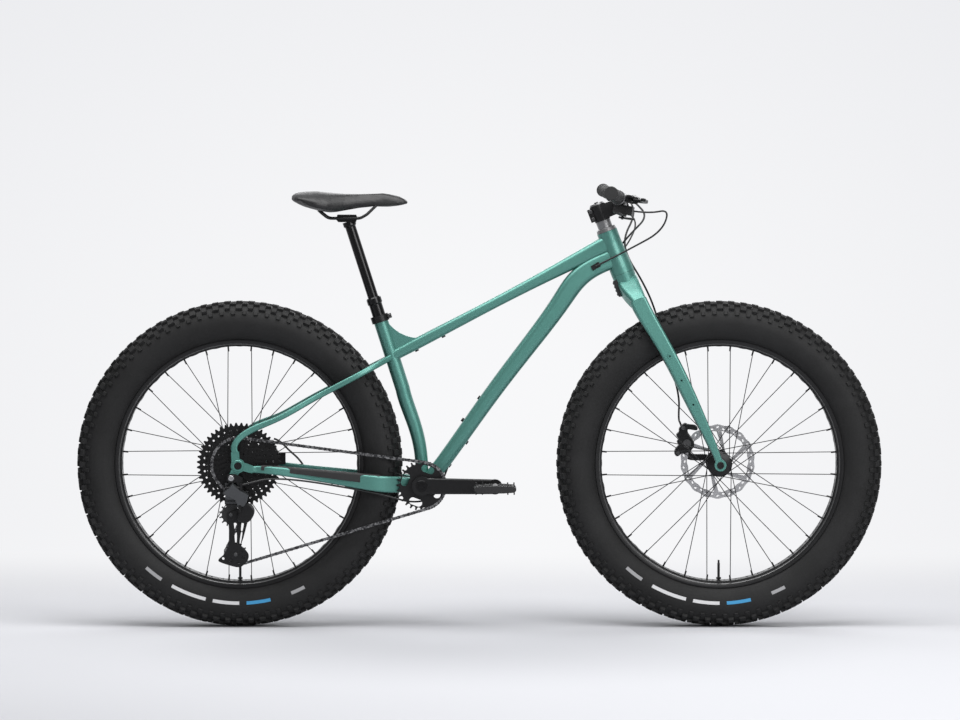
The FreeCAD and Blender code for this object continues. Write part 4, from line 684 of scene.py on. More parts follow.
def rotor_slot(reach, angle, length, half, lean):
    x, y = polar(reach, angle)
    turn = angle + math.pi / 2 + lean
    points = []
    for end in (1, -1):
        for step in range(7):
            bend = turn + (0 if end > 0 else math.pi) - math.pi / 2 + math.pi * step / 6
            points.append((x + end * math.cos(turn) * (length / 2 - half) + half * math.cos(bend),
                           y + end * math.sin(turn) * (length / 2 - half) + half * math.sin(bend)))
    return points


def make_rotor(name, centre, side, radius, body):
    put_plate(name + "_disc", rotor_outlines(radius), 0.0018, 0.0002, side_plane(centre, side), steel,
              body, "steel", name)
    lock = lathe(name + "_lockring", centre + Vector((0, side, 0)), [
        (0.0132, -0.0032), (0.0215, -0.0032), (0.0235, -0.0016), (0.0235, 0.0016), (0.0215, 0.0052),
        (0.0132, 0.0052)], 60, black_metal, 30)
    place(lock, body, "black_metal")


# Saddle
SADDLE_ROWS = (
    # share of the length, half width, lowest, highest
    (0.0, 0.030, 0.0440, 0.0560), (0.025, 0.047, 0.0410, 0.0605), (0.06, 0.058, 0.0370, 0.0630),
    (0.12, 0.0660, 0.0290, 0.0630), (0.21, 0.0690, 0.0200, 0.0612), (0.30, 0.0640, 0.0155, 0.0585),
    (0.38, 0.0535, 0.0175, 0.0562), (0.47, 0.0405, 0.0222, 0.0548), (0.58, 0.0295, 0.0278, 0.0542),
    (0.70, 0.0232, 0.0312, 0.0552), (0.82, 0.0205, 0.0302, 0.0568), (0.92, 0.0180, 0.0310, 0.0540),
    (0.975, 0.0130, 0.0345, 0.0478), (1.0, 0.0050, 0.0375, 0.0425),
)


SADDLE_LENGTH = 0.280
SADDLE_STEPS = 28


def saddle_ring(share, half, low, high):
    """A section of the saddle: crowned top, rolled edges and a slightly hollow underside."""
    x = -SADDLE_LENGTH * 0.48 + SADDLE_LENGTH * share
    ring = []
    for angle in turns(SADDLE_STEPS):
        side = half * signed_power(math.cos(angle), 0.75)
        lift = math.sin(angle)
        top = high - (high - low) * 0.34 * abs(side / half) ** 2.4
        bottom = low + (high - low) * 0.04 * (1 - abs(side / half) ** 2)
        bend = 0.7 if lift > 0 else 0.42
        z = (top + bottom) / 2 + (top - bottom) / 2 * signed_power(lift, bend)
        ring.append(SADDLE_SEAT + Vector((x, side, z)))
    return ring


def puff(obj, voxel, pressure, cap):
    """Swells a closed skin with a short cloth run and keeps each point near its start."""
    remesh = obj.modifiers.new("even", "REMESH")
    remesh.mode = "VOXEL"
    remesh.voxel_size = voxel
    apply_modifiers(obj)
    start = [v.co.copy() for v in obj.data.vertices]
    cloth = obj.modifiers.new("swell", "CLOTH")
    cloth.settings.use_pressure = True
    cloth.settings.uniform_pressure_force = pressure
    cloth.settings.effector_weights.gravity = 0
    for number in range(1, 16):
        scene.frame_set(number)
    apply_modifiers(obj)
    scene.frame_set(1)
    for vertex, rest in zip(obj.data.vertices, start):
        move = vertex.co - rest
        if move.length > cap:
            vertex.co = rest + move.normalized() * cap


def apply_modifiers(obj):
    ready = obj.evaluated_get(bpy.context.evaluated_depsgraph_get())
    mesh = bpy.data.meshes.new_from_object(ready)
    obj.modifiers.clear()
    obj.data = mesh


def make_saddle():
    verts = []
    for row in SADDLE_ROWS:
        verts += saddle_ring(*row)
    faces = ring_faces(len(SADDLE_ROWS), SADDLE_STEPS) + end_faces(verts, SADDLE_STEPS)
    saddle = mesh_object("saddle_pad", verts, faces, saddle_cover, 80)
    puff(saddle, 0.0045, 4, 0.004)
    saddle.data.shade_smooth()
    saddle.modifiers.new("soft", "SUBSURF").render_levels = 1
    place(saddle, "saddle_post", "saddle_cover", "saddle")


# Grips
def make_grip(name, point):
    """Ribbed rubber sleeve with a grey inner collar."""
    low = BAR_REACH - 0.130
    profile = [(low, 0.0112), (low, 0.0160), (low + 0.0012, 0.0172), (low + 0.009, 0.0172),
               (low + 0.0102, 0.0160), (low + 0.0104, 0.0148)]
    ribs, ribbed = 26, 0.108
    step = ribbed / ribs
    for n in range(ribs):
        start = low + 0.012 + ribbed * n / ribs
        profile += [(start, 0.0143), (start + step * 0.15, 0.0156), (start + step * 0.65, 0.0156),
                    (start + step * 0.8, 0.0143)]
    profile += [(BAR_REACH - 0.006, 0.0146), (BAR_REACH - 0.004, 0.0164), (BAR_REACH, 0.0164),
                (BAR_REACH + 0.0018, 0.0150), (BAR_REACH + 0.002, 0.0)]
    verts = []
    sides = 40
    for along, radius in profile:
        verts += [point(*polar(radius, angle), along) for angle in turns(sides)]
    grip = mesh_object(name, verts, ring_faces(len(profile), sides), grip_rubber, 50)
    place(grip, "steering", "grip_rubber", "grips")
    collar = drum(point(0, 0, low + 0.0004), point(0, 0, low + 0.0098), 0.0176, 36)
    put(f"{name}_collar", [collar], spacer_grey, 35, "steering", "grey_metal")


# Pedals
def make_pedal(name, sign, body, node):
    """Thin platform pedal: side rails, cross bars, bearing barrel and grip pins."""
    centre = BB + Vector((sign * 0.175, 0, 0))
    near, far = 0.115, 0.210
    def at(x, out, z):
        return centre + Vector((sign * x, -sign * out, z))
    pieces = []
    rail = [(-0.050, 0.0), (-0.044, 0.0068), (-0.02, 0.0086), (0.02, 0.0086), (0.044, 0.0068), (0.050, 0.0),
            (0.044, -0.0068), (0.02, -0.0086), (-0.02, -0.0086), (-0.044, -0.0068)]
    for out, width in ((near + 0.004, 0.008), (far - 0.004, 0.008), ((near + far) / 2, 0.010)):
        verts = [at(x, out + offset, z) for offset in (-width / 2, width / 2) for x, z in rail]
        pieces.append((verts, ring_faces(2, len(rail)) + end_faces(verts, len(rail))))
    for x, thick in ((-0.044, 0.0062), (-0.030, 0.0068), (0.030, 0.0068), (0.044, 0.0062)):
        pieces.append(drum(at(x, near + 0.002, 0), at(x, far - 0.002, 0), thick, 10))
    pieces.append(drum(at(0, near - 0.004, 0), at(0, far - 0.002, 0), 0.0098, 24))
    for x in (-0.045, -0.030, 0.030, 0.045):
        for out in (near + 0.004, far - 0.004):
            pieces.append(drum(at(x, out, -0.0118), at(x, out, 0.0118), 0.0016, 8, 0.0003))
    put(name, pieces, black_plastic, 35, body, "black_plastic", node)


# Cables and hoses
def route_points(points):
    """Points along the smooth spline that has the route's points as its controls."""
    curve = bpy.data.curves.new("route", "CURVE")
    curve.dimensions = "3D"
    curve.resolution_u = 10
    spline = curve.splines.new("NURBS")
    spline.points.add(len(points) - 1)
    for target, point in zip(spline.points, points):
        target.co = (*point, 1)
    spline.order_u = 3
    spline.use_endpoint_u = True
    return [v.co.copy() for v in curve_mesh(curve).vertices]


def make_hose(name, route, radius):
    points = route_points(route)
    verts, faces = sweep(points, radius, 12)
    return mesh_object(name, verts, faces, hose_black, 60), points


def cable_routes():
    """Routes of the control cables between the bar and the frame."""
    down_end = HEAD + STEER_UP * 0.043
    port = down_end + Vector((-0.107 + 0.057, 0.028, -0.073 + 0.050))
    near = Vector((port.x, -port.y, port.z))
    shift = [right_control(0.030, -0.022, 0.0018), right_control(0.066, -0.018, -0.042),
             Vector((0.452, -0.112, 1.002)), Vector((0.434, -0.078, 0.948)), Vector((0.362, -0.048, 0.908)),
             near + Vector((0.016, -0.005, 0.008)), near]
    rear = [right_control(0.025, 0.002, 0.0078), right_control(0.027, 0.002, -0.032),
            Vector((0.402, -0.072, 0.985)), Vector((0.364, 0.030, 0.942)), Vector((0.334, 0.058, 0.905)),
            port + Vector((0.017, 0.006, 0.013)), port + Vector((0.002, 0, 0.003))]
    dropper = [left_control(0.012, -0.022, 0.0098), left_control(0.020, -0.024, -0.024),
               Vector((0.384, 0.112, 0.968)), Vector((0.358, 0.074, 0.914)), Vector((0.326, 0.048, 0.882)),
               port + Vector((0.012, 0.006, -0.006)), port + Vector((-0.004, 0, -0.004))]
    return port, shift, rear, dropper


def make_cockpit_cables():
    port, shift, rear, dropper = cable_routes()
    for name, route, radius in (("shift_cable", shift, 0.0022), ("rear_brake_hose", rear, 0.0024),
                                ("dropper_cable", dropper, 0.0020)):
        hose, points = make_hose(name, route, radius)
        if route is shift:
            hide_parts("cockpit_cables")
        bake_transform(hose)


def make_front_hose():
    foot = HEAD + STEER_AHEAD * FORK_OFFSET - STEER_UP * FORK_LENGTH
    def at_foot(ahead, side, along):
        return foot + STEER_AHEAD * ahead + STEER_UP * along + Vector((0, side, 0))
    route = [left_control(0.025, 0.002, 0.0078), left_control(0.027, 0.002, -0.032),
             Vector((0.376, 0.092, 0.985)), steer_point(0.033, 0.050, 0.078),
             steer_point(0.024, 0.052, 0.032), steer_point(0.038, 0.072, -0.034),
             steer_point(0.044, 0.096, -0.110), steer_point(0.030, 0.099, -0.240),
             steer_point(0.024, 0.098, -0.330),
             at_foot(-0.052, 0.094, 0.126), at_foot(-0.050, 0.070, 0.118), at_foot(-0.055, 0.068, 0.050)]
    hose, _ = make_hose("front_hose", route, 0.0024)
    place(hose, "steering", "grip_rubber", "front_brake_hose")


def stay_x(share):
    return REAR.x + (BB.x - REAR.x) * share


def make_frame_hoses():
    side = -(0.057 + 0.014)
    housing = [BB + Vector((0.064, -0.012, 0.047)), BB + Vector((0.038, -0.024, -0.030)),
               BB + Vector((-0.020, -0.046, -0.044)), Vector((stay_x(0.80), side - 0.002, BB.z - 0.022)),
               Vector((stay_x(0.63), side - 0.003, REAR.z - 0.057)),
               Vector((stay_x(0.34), -0.084, REAR.z - 0.035)), REAR + Vector((0.070, -0.101, -0.030)),
               REAR + Vector((0.034, -0.112, -0.039)), REAR + Vector((0.0111, -0.116, -0.044))]
    hose, _ = make_hose("shift_housing", housing, 0.0022)
    place(hose, "frame", "grip_rubber", "frame_cables")
    top = REAR.z - 0.002
    rear = [Vector((stay_x(0.34), 0.084, REAR.z - 0.010)), Vector((stay_x(0.32), 0.085, top + 0.006)),
            Vector((REAR.x + 0.112, 0.084, top + 0.030)), Vector((REAR.x + 0.092, 0.082, top + 0.052)),
            Vector((REAR.x + 0.078, 0.082, top + 0.056))]
    hose, _ = make_hose("rear_caliper_hose", rear, 0.0024)
    place(hose, "frame", "grip_rubber")


# Chainstay guard
STAY_ROWS = (
    # share of the stay, side, lift, half width, half height, corner, as in the model
    (0.08, 0.1010, -0.0050, 0.0045, 0.0080, 0.0035), (0.126, 0.0980, -0.0030, 0.0055, 0.0090, 0.0040),
    (0.313, 0.0840, -0.0030, 0.0080, 0.0115, 0.0050), (0.629, 0.0740, -0.0055, 0.0080, 0.0170, 0.0050),
    (0.805, 0.0705, -0.0060, 0.0070, 0.0195, 0.0050), (0.88, 0.0530, -0.0040, 0.0065, 0.0190, 0.0050),
)


def guard_section(row, proud):
    """Half of a stay's section, from its outer side over the top, standing proud by the given amount."""
    share, side, lift, wide, tall, corner = row
    w, h = wide + proud, tall + proud
    points = [(-w, -0.12 * tall), (-w, h - corner)]
    for step in range(1, 6):
        angle = math.pi / 2 * step / 6
        points.append((-w + corner - corner * math.cos(angle), h - corner + corner * math.sin(angle)))
    points += [(-w + corner, h), (w - corner, h)]
    for step in range(1, 6):
        angle = math.pi / 2 * step / 6
        points.append((w - corner + corner * math.sin(angle), h - corner + corner * math.cos(angle)))
    points += [(w, h - corner), (w, 0.15 * tall)]
    x = stay_x(share)
    middle = REAR.z - 0.050 * share + lift
    return [Vector((x, -side + y, middle + z)) for y, z in points]


def make_guard():
    """Moulded pad on the top half of the drive-side chainstay."""
    line = [row for row in smooth_line(STAY_ROWS, 10) if 0.122 < row[0] < 0.79]
    verts = []
    for n, row in enumerate(line):
        end = min(n, len(line) - 1 - n)
        proud = 0.0010 if end == 0 else 0.0018
        ripple = 0.0004 if n % 3 == 0 else 0.0
        verts += guard_section(row, proud + ripple) + list(reversed(guard_section(row, 0.0002)))
    count = len(verts) // len(line)
    faces = ring_faces(len(line), count) + end_faces(verts, count)
    put("chainstay_guard", [(verts, faces)], grip_rubber, 45, "frame", "grip_rubber")


# Bolts and small fittings
def socket_bolt(centre, axis, radius, height):
    """Round bolt head with a hexagon socket."""
    axis = axis.normalized()
    across = axis.orthogonal().normalized()
    other = axis.cross(across)
    sixth = math.pi / 3
    verts = []
    sides = 24
    for lift, reach, hexagon in ((-0.001, radius, False), (height - 0.0005, radius, False),
                                 (height, radius - 0.0006, False), (height, radius * 0.6, True),
                                 (height * 0.45, radius * 0.58, True)):
        for angle in turns(sides):
            share = math.cos(sixth / 2) / math.cos((angle % sixth) - sixth / 2) if hexagon else 1.0
            verts.append(centre + axis * lift
                         + (across * math.cos(angle) + other * math.sin(angle)) * reach * share)
    return verts, ring_faces(5, sides) + end_faces(verts, sides)[1:]


def make_stem_bolts():
    pieces = []
    for side in (-0.0165, 0.0165):
        for way in (-1, 1):
            centre = steer_point(STEM_REACH + 0.0140, side, STEM_LEVEL + way * 0.0142)
            axis = STEER_AHEAD * 0.74 + STEER_UP * (0.67 * way)
            pieces.append(socket_bolt(centre, axis, 0.0042, 0.0038))
    for way in (-1, 1):
        level = STEM_LEVEL + way * 0.0095
        pieces.append(socket_bolt(steer_point(-0.0205, -0.011, level), RIGHT, 0.0046, 0.0036))
        far = steer_point(-0.0205, 0.011, level)
        pieces.append(drum(far, far + Vector((0, 0.002, 0)), 0.0046, 24))
    top = steer_point(0, 0, STEM_LEVEL + STEM_HALF + 0.004)
    pieces.append(socket_bolt(top, STEER_UP, 0.0050, 0.0026))
    put("stem_bolts", pieces, dark_steel, 35, "steering", "black_metal")


def make_collar_bolt():
    """Bolt and nut across the slot of the seat collar."""
    ahead = Vector((math.sin(SEAT_ANGLE), 0, math.cos(SEAT_ANGLE)))
    middle = POST_FOOT + POST_UP * 0.417 + ahead * 0.0235
    head, nut, nut_end = (middle + Vector((0, side, 0)) for side in (-0.0085, 0.0085, 0.0120))
    pieces = [socket_bolt(head, RIGHT, 0.0044, 0.0042), drum(nut, nut_end, 0.0044, 24)]
    put("collar_bolt", pieces, dark_steel, 35, "frame", "black_metal")


def make_crown_pad():
    """Rubber pad with four ribs on the back of the fork crown."""
    left = Vector((0, 1, 0))
    foot = steer_point(-0.0222, 0, -0.030)
    pieces = [block(foot, STEER_UP, left, -STEER_AHEAD, 0.044, 0.040, 0.008, 0.004)]
    for n in range(4):
        centre = steer_point(-0.0300, 0, -0.044 + 0.0095 * n)
        pieces.append(block(centre, STEER_UP, left, -STEER_AHEAD, 0.0045, 0.028, 0.0016, 0.001))
    put("crown_pad", pieces, grip_rubber, 30, "steering", "grip_rubber")


# Levers on the bar
def bar_plane(level, flip):
    """Matrix of a flat piece that lies along the bar end, at a level above it."""
    turn = CONTROLS.to_3x3()
    ahead, out, up = (turn @ Vector(axis) for axis in ((1, 0, 0), (0, 0, 1), (0, -1, 0)))
    matrix = plane_matrix(ahead, out, up, CONTROLS @ Vector((0, level, 0)))
    if flip:
        matrix = Matrix.Scale(-1, 4, (0, 1, 0)) @ matrix
    return matrix


# Outlines of the levers round their pivots, ahead and outward
BRAKE_SHAPE = ((-0.004, -0.006), (0.004, -0.0062), (0.014, 0.002), (0.024, 0.014), (0.031, 0.028),
               (0.0325, 0.042), (0.0305, 0.062), (0.0312, 0.078), (0.0335, 0.087), (0.0300, 0.0915),
               (0.0262, 0.0880), (0.0238, 0.078), (0.0226, 0.062), (0.0242, 0.044), (0.0222, 0.034),
               (0.0150, 0.0215), (0.006, 0.012), (-0.003, 0.0065), (-0.0058, 0.001))
SHIFT_SHAPE = ((-0.007, -0.006), (0.0, -0.0075), (0.007, -0.006), (0.0085, 0.012), (0.004, 0.030),
               (0.003, 0.046), (0.004, 0.060), (-0.004, 0.0625), (-0.0115, 0.060), (-0.0115, 0.044),
               (-0.0075, 0.028), (-0.0075, 0.010))
RELEASE_SHAPE = ((-0.007, -0.006), (0.0, -0.0075), (0.008, -0.006), (0.023, 0.006), (0.033, 0.024),
                 (0.030, 0.032), (0.024, 0.0335), (0.011, 0.017), (-0.006, 0.008))
DROPPER_SHAPE = ((-0.008, -0.006), (0.0, -0.0075), (0.007, -0.006), (0.0085, 0.014), (0.0045, 0.034),
                 (0.0045, 0.050), (0.006, 0.064), (-0.004, 0.0665), (-0.0135, 0.064), (-0.012, 0.046),
                 (-0.0085, 0.026), (-0.0085, 0.010))


def lever_outlines(pivot, corners):
    x, z = pivot
    return [smooth_loop([(x + a, z + b) for a, b in corners], 4), circle_outline(x, z, 0.0031, 20)]


def make_levers():
    brake = lever_outlines((0.042, 0.068), BRAKE_SHAPE)
    for side, flip in (("right", False), ("left", True)):
        put_plate(f"{side}_blade", brake, 0.0084, 0.0022, bar_plane(0, flip), black_metal,
                  f"{side}_brake_lever", "black_metal", f"brake_lever_{side}")
    for name, node, pivot, shape, thickness, edge, level, flip in (
            ("shift_paddle", "shift_lever", (0.012, 0.022), SHIFT_SHAPE, 0.0042, 0.0009, -0.037, False),
            ("release_paddle", "release_lever", (0.012, 0.022), RELEASE_SHAPE, 0.0042, 0.0009, -0.043, False),
            ("dropper_paddle", "dropper_lever", (0.006, 0.022), DROPPER_SHAPE, 0.0062, 0.0014, -0.032, True)):
        put_plate(name, lever_outlines(pivot, shape), thickness, edge, bar_plane(level, flip), black_plastic,
                  name, "black_plastic", node)


# Rear derailleur
CAGE_TURN = math.radians(-3.47)
KNUCKLE = REAR + Vector((0.013, 0, -0.114))
GUIDE = (-0.032, -0.003)
TENSION = (-0.0265, -0.099)


def cage_outlines():
    """Cage plate with a wide foot and long openings between its two wheels."""
    outside = smooth_loop([
        (GUIDE[0] - 0.0085, GUIDE[1]), (GUIDE[0] - 0.003, GUIDE[1] + 0.0062), (-0.012, 0.0080),
        (0.004, 0.0095),
        (0.0112, 0.004), (0.0100, -0.012), (0.0033, -0.032), (-0.0060, -0.060), (-0.0125, -0.078),
        (-0.0058, -0.086), (0.0035, -0.1010), (0.0005, -0.1155), (-0.0123, -0.1270), (-0.0227, -0.1295),
        (-0.0409, -0.1245), (-0.0650, -0.1145), (-0.0675, -0.1080), (-0.0526, -0.0955), (-0.0425, -0.077),
        (-0.0390, -0.050), (-0.0390, -0.022)], 4)
    slots = []
    for points in ([(-0.0265, -0.020), (-0.0185, -0.020), (-0.0205, -0.042), (-0.0255, -0.042)],
                   [(-0.0265, -0.048), (-0.0205, -0.048), (-0.0225, -0.072), (-0.0265, -0.072)],
                   [(-0.0065, -0.018), (-0.0008, -0.018), (-0.0060, -0.042), (-0.0110, -0.042)],
                   [(-0.0112, -0.048), (-0.0070, -0.048), (-0.0125, -0.072), (-0.0160, -0.072)]):
        slots.append(smooth_loop(points, 4))
    for x, y, radius in ((-0.0570, -0.1070, 0.0036), (-0.0390, -0.1125, 0.0046), (-0.0215, -0.1190, 0.0034),
                         (-0.0090, -0.1070, 0.0040), (-0.0105, -0.0920, 0.0026)):
        slots.append(circle_outline(x, y, radius, 20))
    for centre in (TENSION, GUIDE):
        slots.append(circle_outline(*centre, 0.0026, 16))
    return [outside, *slots]


def make_cage():
    """Two plates on their wheel bolts, in place of the plain cage."""
    for name, side in (("cage_outer_plate", 0.0710), ("cage_inner_plate", 0.0610)):
        put_plate(name, cage_outlines(), 0.0016, 0.0003, side_plane(KNUCKLE, -side, CAGE_TURN), black_metal,
                  "cage", "black_metal", "derailleur_cage")
    pieces = []
    turn = Matrix.Rotation(CAGE_TURN, 3, "Y")
    for x, z in (GUIDE, TENSION):
        centre = KNUCKLE + turn @ Vector((x, 0, z))
        pieces.append(drum(centre + RIGHT * 0.0600, centre + RIGHT * 0.0722, 0.0025, 16))
        pieces.append(socket_bolt(centre + RIGHT * 0.0716, RIGHT, 0.0045, 0.0018))
    pieces.append(drum(KNUCKLE + RIGHT * 0.0705, KNUCKLE + RIGHT * 0.0805, 0.0040, 20))
    put("cage_bolts", pieces, dark_steel, 35, "cage", "black_metal")


def slanted_plane(x, top, low):
    """Matrix of a plate that lies along a derailleur link, seen from outside."""
    up = Vector((0, top[0] - low[0], top[1] - low[1])).normalized()
    ahead = Vector((1, 0, 0))
    return plane_matrix(ahead, up, ahead.cross(up), REAR + Vector((x, *low)))


def make_link_cover():
    """Angular outer link."""
    outline = [(-0.0152, 0.0502), (-0.0100, 0.0576), (0.0082, 0.0414), (0.0264, 0.0282), (0.0212, 0.0091),
               (0.0160, 0.0000), (0.0040, -0.0030), (-0.0022, 0.0165), (-0.0178, 0.0253), (-0.0308, 0.0341),
               (-0.0269, 0.0400)]
    matrix = slanted_plane(-0.017 + 0.014, (-0.113, -0.052), (-0.091, -0.094))
    put_plate("outer_link_cover", [outline], 0.0110, 0.0018, matrix, grey_metal,
              "link_outer", "grey_metal", "outer_link")


def make_knuckle_cover():
    """Rounded cover of the lower knuckle."""
    outline = smooth_loop([(-0.004, 0.012), (0.004, 0.020), (0.016, 0.0165), (0.0215, 0.004),
                           (0.0150, -0.0125), (0.004, -0.0200), (-0.008, -0.0180), (-0.0125, -0.006)], 5)
    put_plate("knuckle_cover", [outline], 0.0165, 0.0040, side_plane(KNUCKLE, -0.0812), black_metal,
              "knuckle", "black_metal")


def make_hanger_bolt():
    bolt = socket_bolt(REAR + Vector((-0.016, -0.1090, -0.0295)), RIGHT, 0.0068, 0.0030)
    put("hanger_bolt", [bolt], steel, 35, "frame", "steel")


# Cassette
SPROCKETS = (11, 13, 15, 18, 21, 24, 28, 32, 39, 48)
SPROCKET_STEP = 0.00395
CHAIN_PLANE = 0.066
CHAIN_SPROCKET = 7
CHAIN_PITCH = 0.0127
SPROCKET_HOLE = 0.0026
HOLE_STEP = 0.0078
# Share of a tooth's pitch and lift over the pitch circle, round one tooth
TOOTH_SHAPE = ((-0.5, -0.0040), (-0.34, -0.0032), (-0.12, 0.0030), (-0.06, 0.0035), (0.06, 0.0035),
               (0.12, 0.0030), (0.34, -0.0032))


def pitch_radius(teeth):
    return teeth * CHAIN_PITCH / (2 * math.pi)


def tooth_turn(side, teeth):
    """Turn of the model's own sprocket in a plane, found from the places of its tooth tips."""
    tips = pitch_radius(teeth) + 0.0034
    cassette = nodes["cassette"]
    total = Vector((0, 0))
    for vertex in cassette.data.vertices:
        spot = cassette.matrix_world @ vertex.co - REAR
        if abs(spot.y + side) < 0.001 and math.hypot(spot.x, spot.z) > tips:
            total += Vector(polar(1, math.atan2(spot.z, spot.x) * teeth))
    return math.atan2(total.y, total.x) / teeth


def sprocket_outlines(teeth, bore, turn):
    """Toothed outside, bore and rows of small round openings."""
    reach = pitch_radius(teeth)
    step = 2 * math.pi / teeth
    outside = []
    for n in range(teeth):
        middle = turn + step * n
        outside += [polar(reach + lift, middle + share * step) for share, lift in TOOTH_SHAPE]
    outlines = [outside, circle_outline(0, 0, bore, 48)]
    row = 0
    radius = 0.0285
    while radius < reach - 0.0075:
        count = int(radius / 0.00125 / 2)
        for n in range(count):
            x, y = polar(radius, 2 * math.pi * (n + 0.5 * (row % 2)) / count)
            outlines.append(circle_outline(x, y, SPROCKET_HOLE, 10))
        radius += HOLE_STEP
        row += 1
    return outlines


def make_cassette():
    for number, teeth in enumerate(SPROCKETS):
        side = CHAIN_PLANE + SPROCKET_STEP * (CHAIN_SPROCKET - number)
        bore = 0.0169 if teeth < 21 else 0.0189
        outlines = sprocket_outlines(teeth, bore, tooth_turn(side, teeth))
        put_plate(f"sprocket_{teeth}", outlines, 0.0016, 0.0002, side_plane(REAR, -side), cog_black,
                  "cassette_body", "black_metal", "cassette")
    outer = CHAIN_PLANE + SPROCKET_STEP * CHAIN_SPROCKET + 0.0012
    inner = CHAIN_PLANE + SPROCKET_STEP * (CHAIN_SPROCKET - len(SPROCKETS) + 1) - 0.0020
    freehub = lathe("freehub", REAR, [
        (0.0062, -outer - 0.0035), (0.0138, -outer - 0.0035), (0.0140, -outer), (0.0172, -outer),
        (0.0172, -0.0800), (0.0190, -0.0799), (0.0190, -inner), (0.0062, -inner)], 48, cog_black, 30)
    place(freehub, "cassette_body", "black_metal")


# Axle ends and crank bolts
def make_axle_ends():
    """Raised ring on the right dropout, and the dark right ends of both axles."""
    face, proud = -0.1054, -0.1092
    ring = lathe("dropout_ring", REAR, [(0.0092, face), (0.0092, proud), (0.0128, proud),
                                        (0.0140, proud + 0.0012), (0.0140, face)], 48, paint, 30)
    place(ring, "frame", "frame_paint")
    rear = socket_bolt(REAR + Vector((0, face - 0.0004, 0)), RIGHT, 0.0088, 0.0022)
    put("axle_end", [rear], black_metal, 35, "frame", "black_metal")
    front = socket_bolt(FRONT + RIGHT * 0.0908, RIGHT, 0.0086, 0.0026)
    put("front_axle_end", [front], black_metal, 35, "steering", "black_metal")


def make_crank_bolts():
    """Dark caps in both ends of the crank spindle."""
    for name, way in (("crank_bolt_right", -1), ("crank_bolt_left", 1)):
        cap = socket_bolt(BB + Vector((0, way * 0.0860, 0)), Vector((0, way, 0)), 0.0140, 0.0022)
        put(name, [cap], gloss_black, 35, "crank", "black_metal")


# Front brake caliper
CALIPER_SHAPE = (
    # ahead and up from the front axle, in mm
    (-90, 80), (-80, 90), (-74.5, 87), (-75.5, 72), (-68, 60), (-60.5, 48), (-60.5, 38), (-68, 28), (-80, 23),
    (-88, 22.5), (-97, 16), (-101.5, 20), (-100, 29), (-91, 41), (-95.5, 48), (-91, 55), (-97, 64), (-91, 71))
CALIPER_ARMS = (((-82, 88), (-66, 88), (-52, 85), (-50, 76), (-66, 78), (-80, 79)),
                ((-74, 24), (-66, 22), (-60, 16), (-26, 15), (-27, 4), (-66, 4), (-74, 12)))


def make_front_caliper():
    """Two rounded halves beside the rotor, joined by bolts and carried on two arms."""
    shape = smooth_loop([(x / 1000, z / 1000) for x, z in CALIPER_SHAPE], 4)
    for name, side in (("caliper_inner_half", 0.0525), ("caliper_outer_half", 0.0675)):
        put_plate(name, [shape], 0.0110, 0.0030, side_plane(FRONT, side), black_metal,
                  "steering", "black_metal", "front_caliper")
    for number, arm in enumerate(CALIPER_ARMS, 1):
        outline = smooth_loop([(x / 1000, z / 1000) for x, z in arm], 3)
        put_plate(f"caliper_arm_{number}", [outline], 0.0110, 0.0015, side_plane(FRONT, 0.0780), black_metal,
                  "steering", "black_metal")
    pieces = []
    for x, z in ((-0.0835, 0.0815), (-0.0965, 0.0215)):
        start = FRONT + Vector((x, 0.0450, z))
        pieces.append(drum(start, start + Vector((0, 0.0340, 0)), 0.0052, 20))
        pieces.append(socket_bolt(start, RIGHT, 0.0052, 0.0030))
    piston = FRONT + Vector((-0.0745, 0.0475, 0.0440))
    pieces.append(drum(piston, piston + RIGHT * 0.0030, 0.0105, 28))
    put("caliper_bolts", pieces, dark_steel, 35, "steering", "black_metal")


# Plain bars on the tyre sides
BARS = ((228, 236, "pale"), (241, 256, "white"), (259, 270, "white"), (273, 283, "blue"), (292, 298, "pale"))


def make_tyre_bars(name, centre, body):
    """Printed bars on both sides of the casing."""
    inks = {"pale": (0.32, 0.32, 0.33), "white": (0.62, 0.62, 0.63), "blue": (0.04, 0.27, 0.52)}
    for ink, color in inks.items():
        pieces = []
        for start, end, wanted in BARS:
            if wanted == ink:
                pieces += [tyre_bar(start, end, sign) for sign in (-1, 1)]
        material = new_material(f"{name}_{ink}_ink", color, 0.6)
        vary_roughness(material, noise(material, 300, 3), 0.5, 0.75)
        put(f"{name}_{ink}_bars", pieces, material, 60, body, "tyre_rubber", centre=centre)


def tyre_bar(start, end, sign):
    verts = []
    steps = 10
    for n in range(steps + 1):
        angle = math.radians(start + (end - start) * n / steps)
        for radius in (0.3285, 0.3325, 0.3365):
            verts.append(wheel_spot(radius, angle, sign * (side_at(radius) + 0.0004)))
    return verts, ring_faces(steps + 1, 3, False, False)


def side_at(radius):
    """Half width of the casing at a radius below its widest place."""
    for (r0, y0), (r1, y1) in zip(CASING, CASING[1:]):
        if r0 <= radius <= r1:
            return y0 + (y1 - y0) * (radius - r0) / (r1 - r0)
    return 0.055


# Finishes of the model's own pieces
def finish_nodes():
    by_slot = {
        "frame_paint": paint, "black_metal": black_metal, "grey_metal": grey_metal, "steel": steel,
        "tyre_rubber": tyre_rubber, "grip_rubber": hose_black, "black_plastic": black_plastic,
        "saddle_cover": saddle_cover,
    }
    special = {"stanchion": gloss_black, "post_outer": gloss_black, "chain": chain_steel,
               "cassette": cog_black, "headset_spacers": spacer_grey}
    for row in frame["record"]["subparts"]:
        node = nodes[row["node"]]
        node.data.materials.clear()
        node.data.materials.append(special.get(row["node"], by_slot[row["material_slot"]]))
        node.data.shade_smooth()
        node.data.set_sharp_from_angle(angle=math.radians(32))


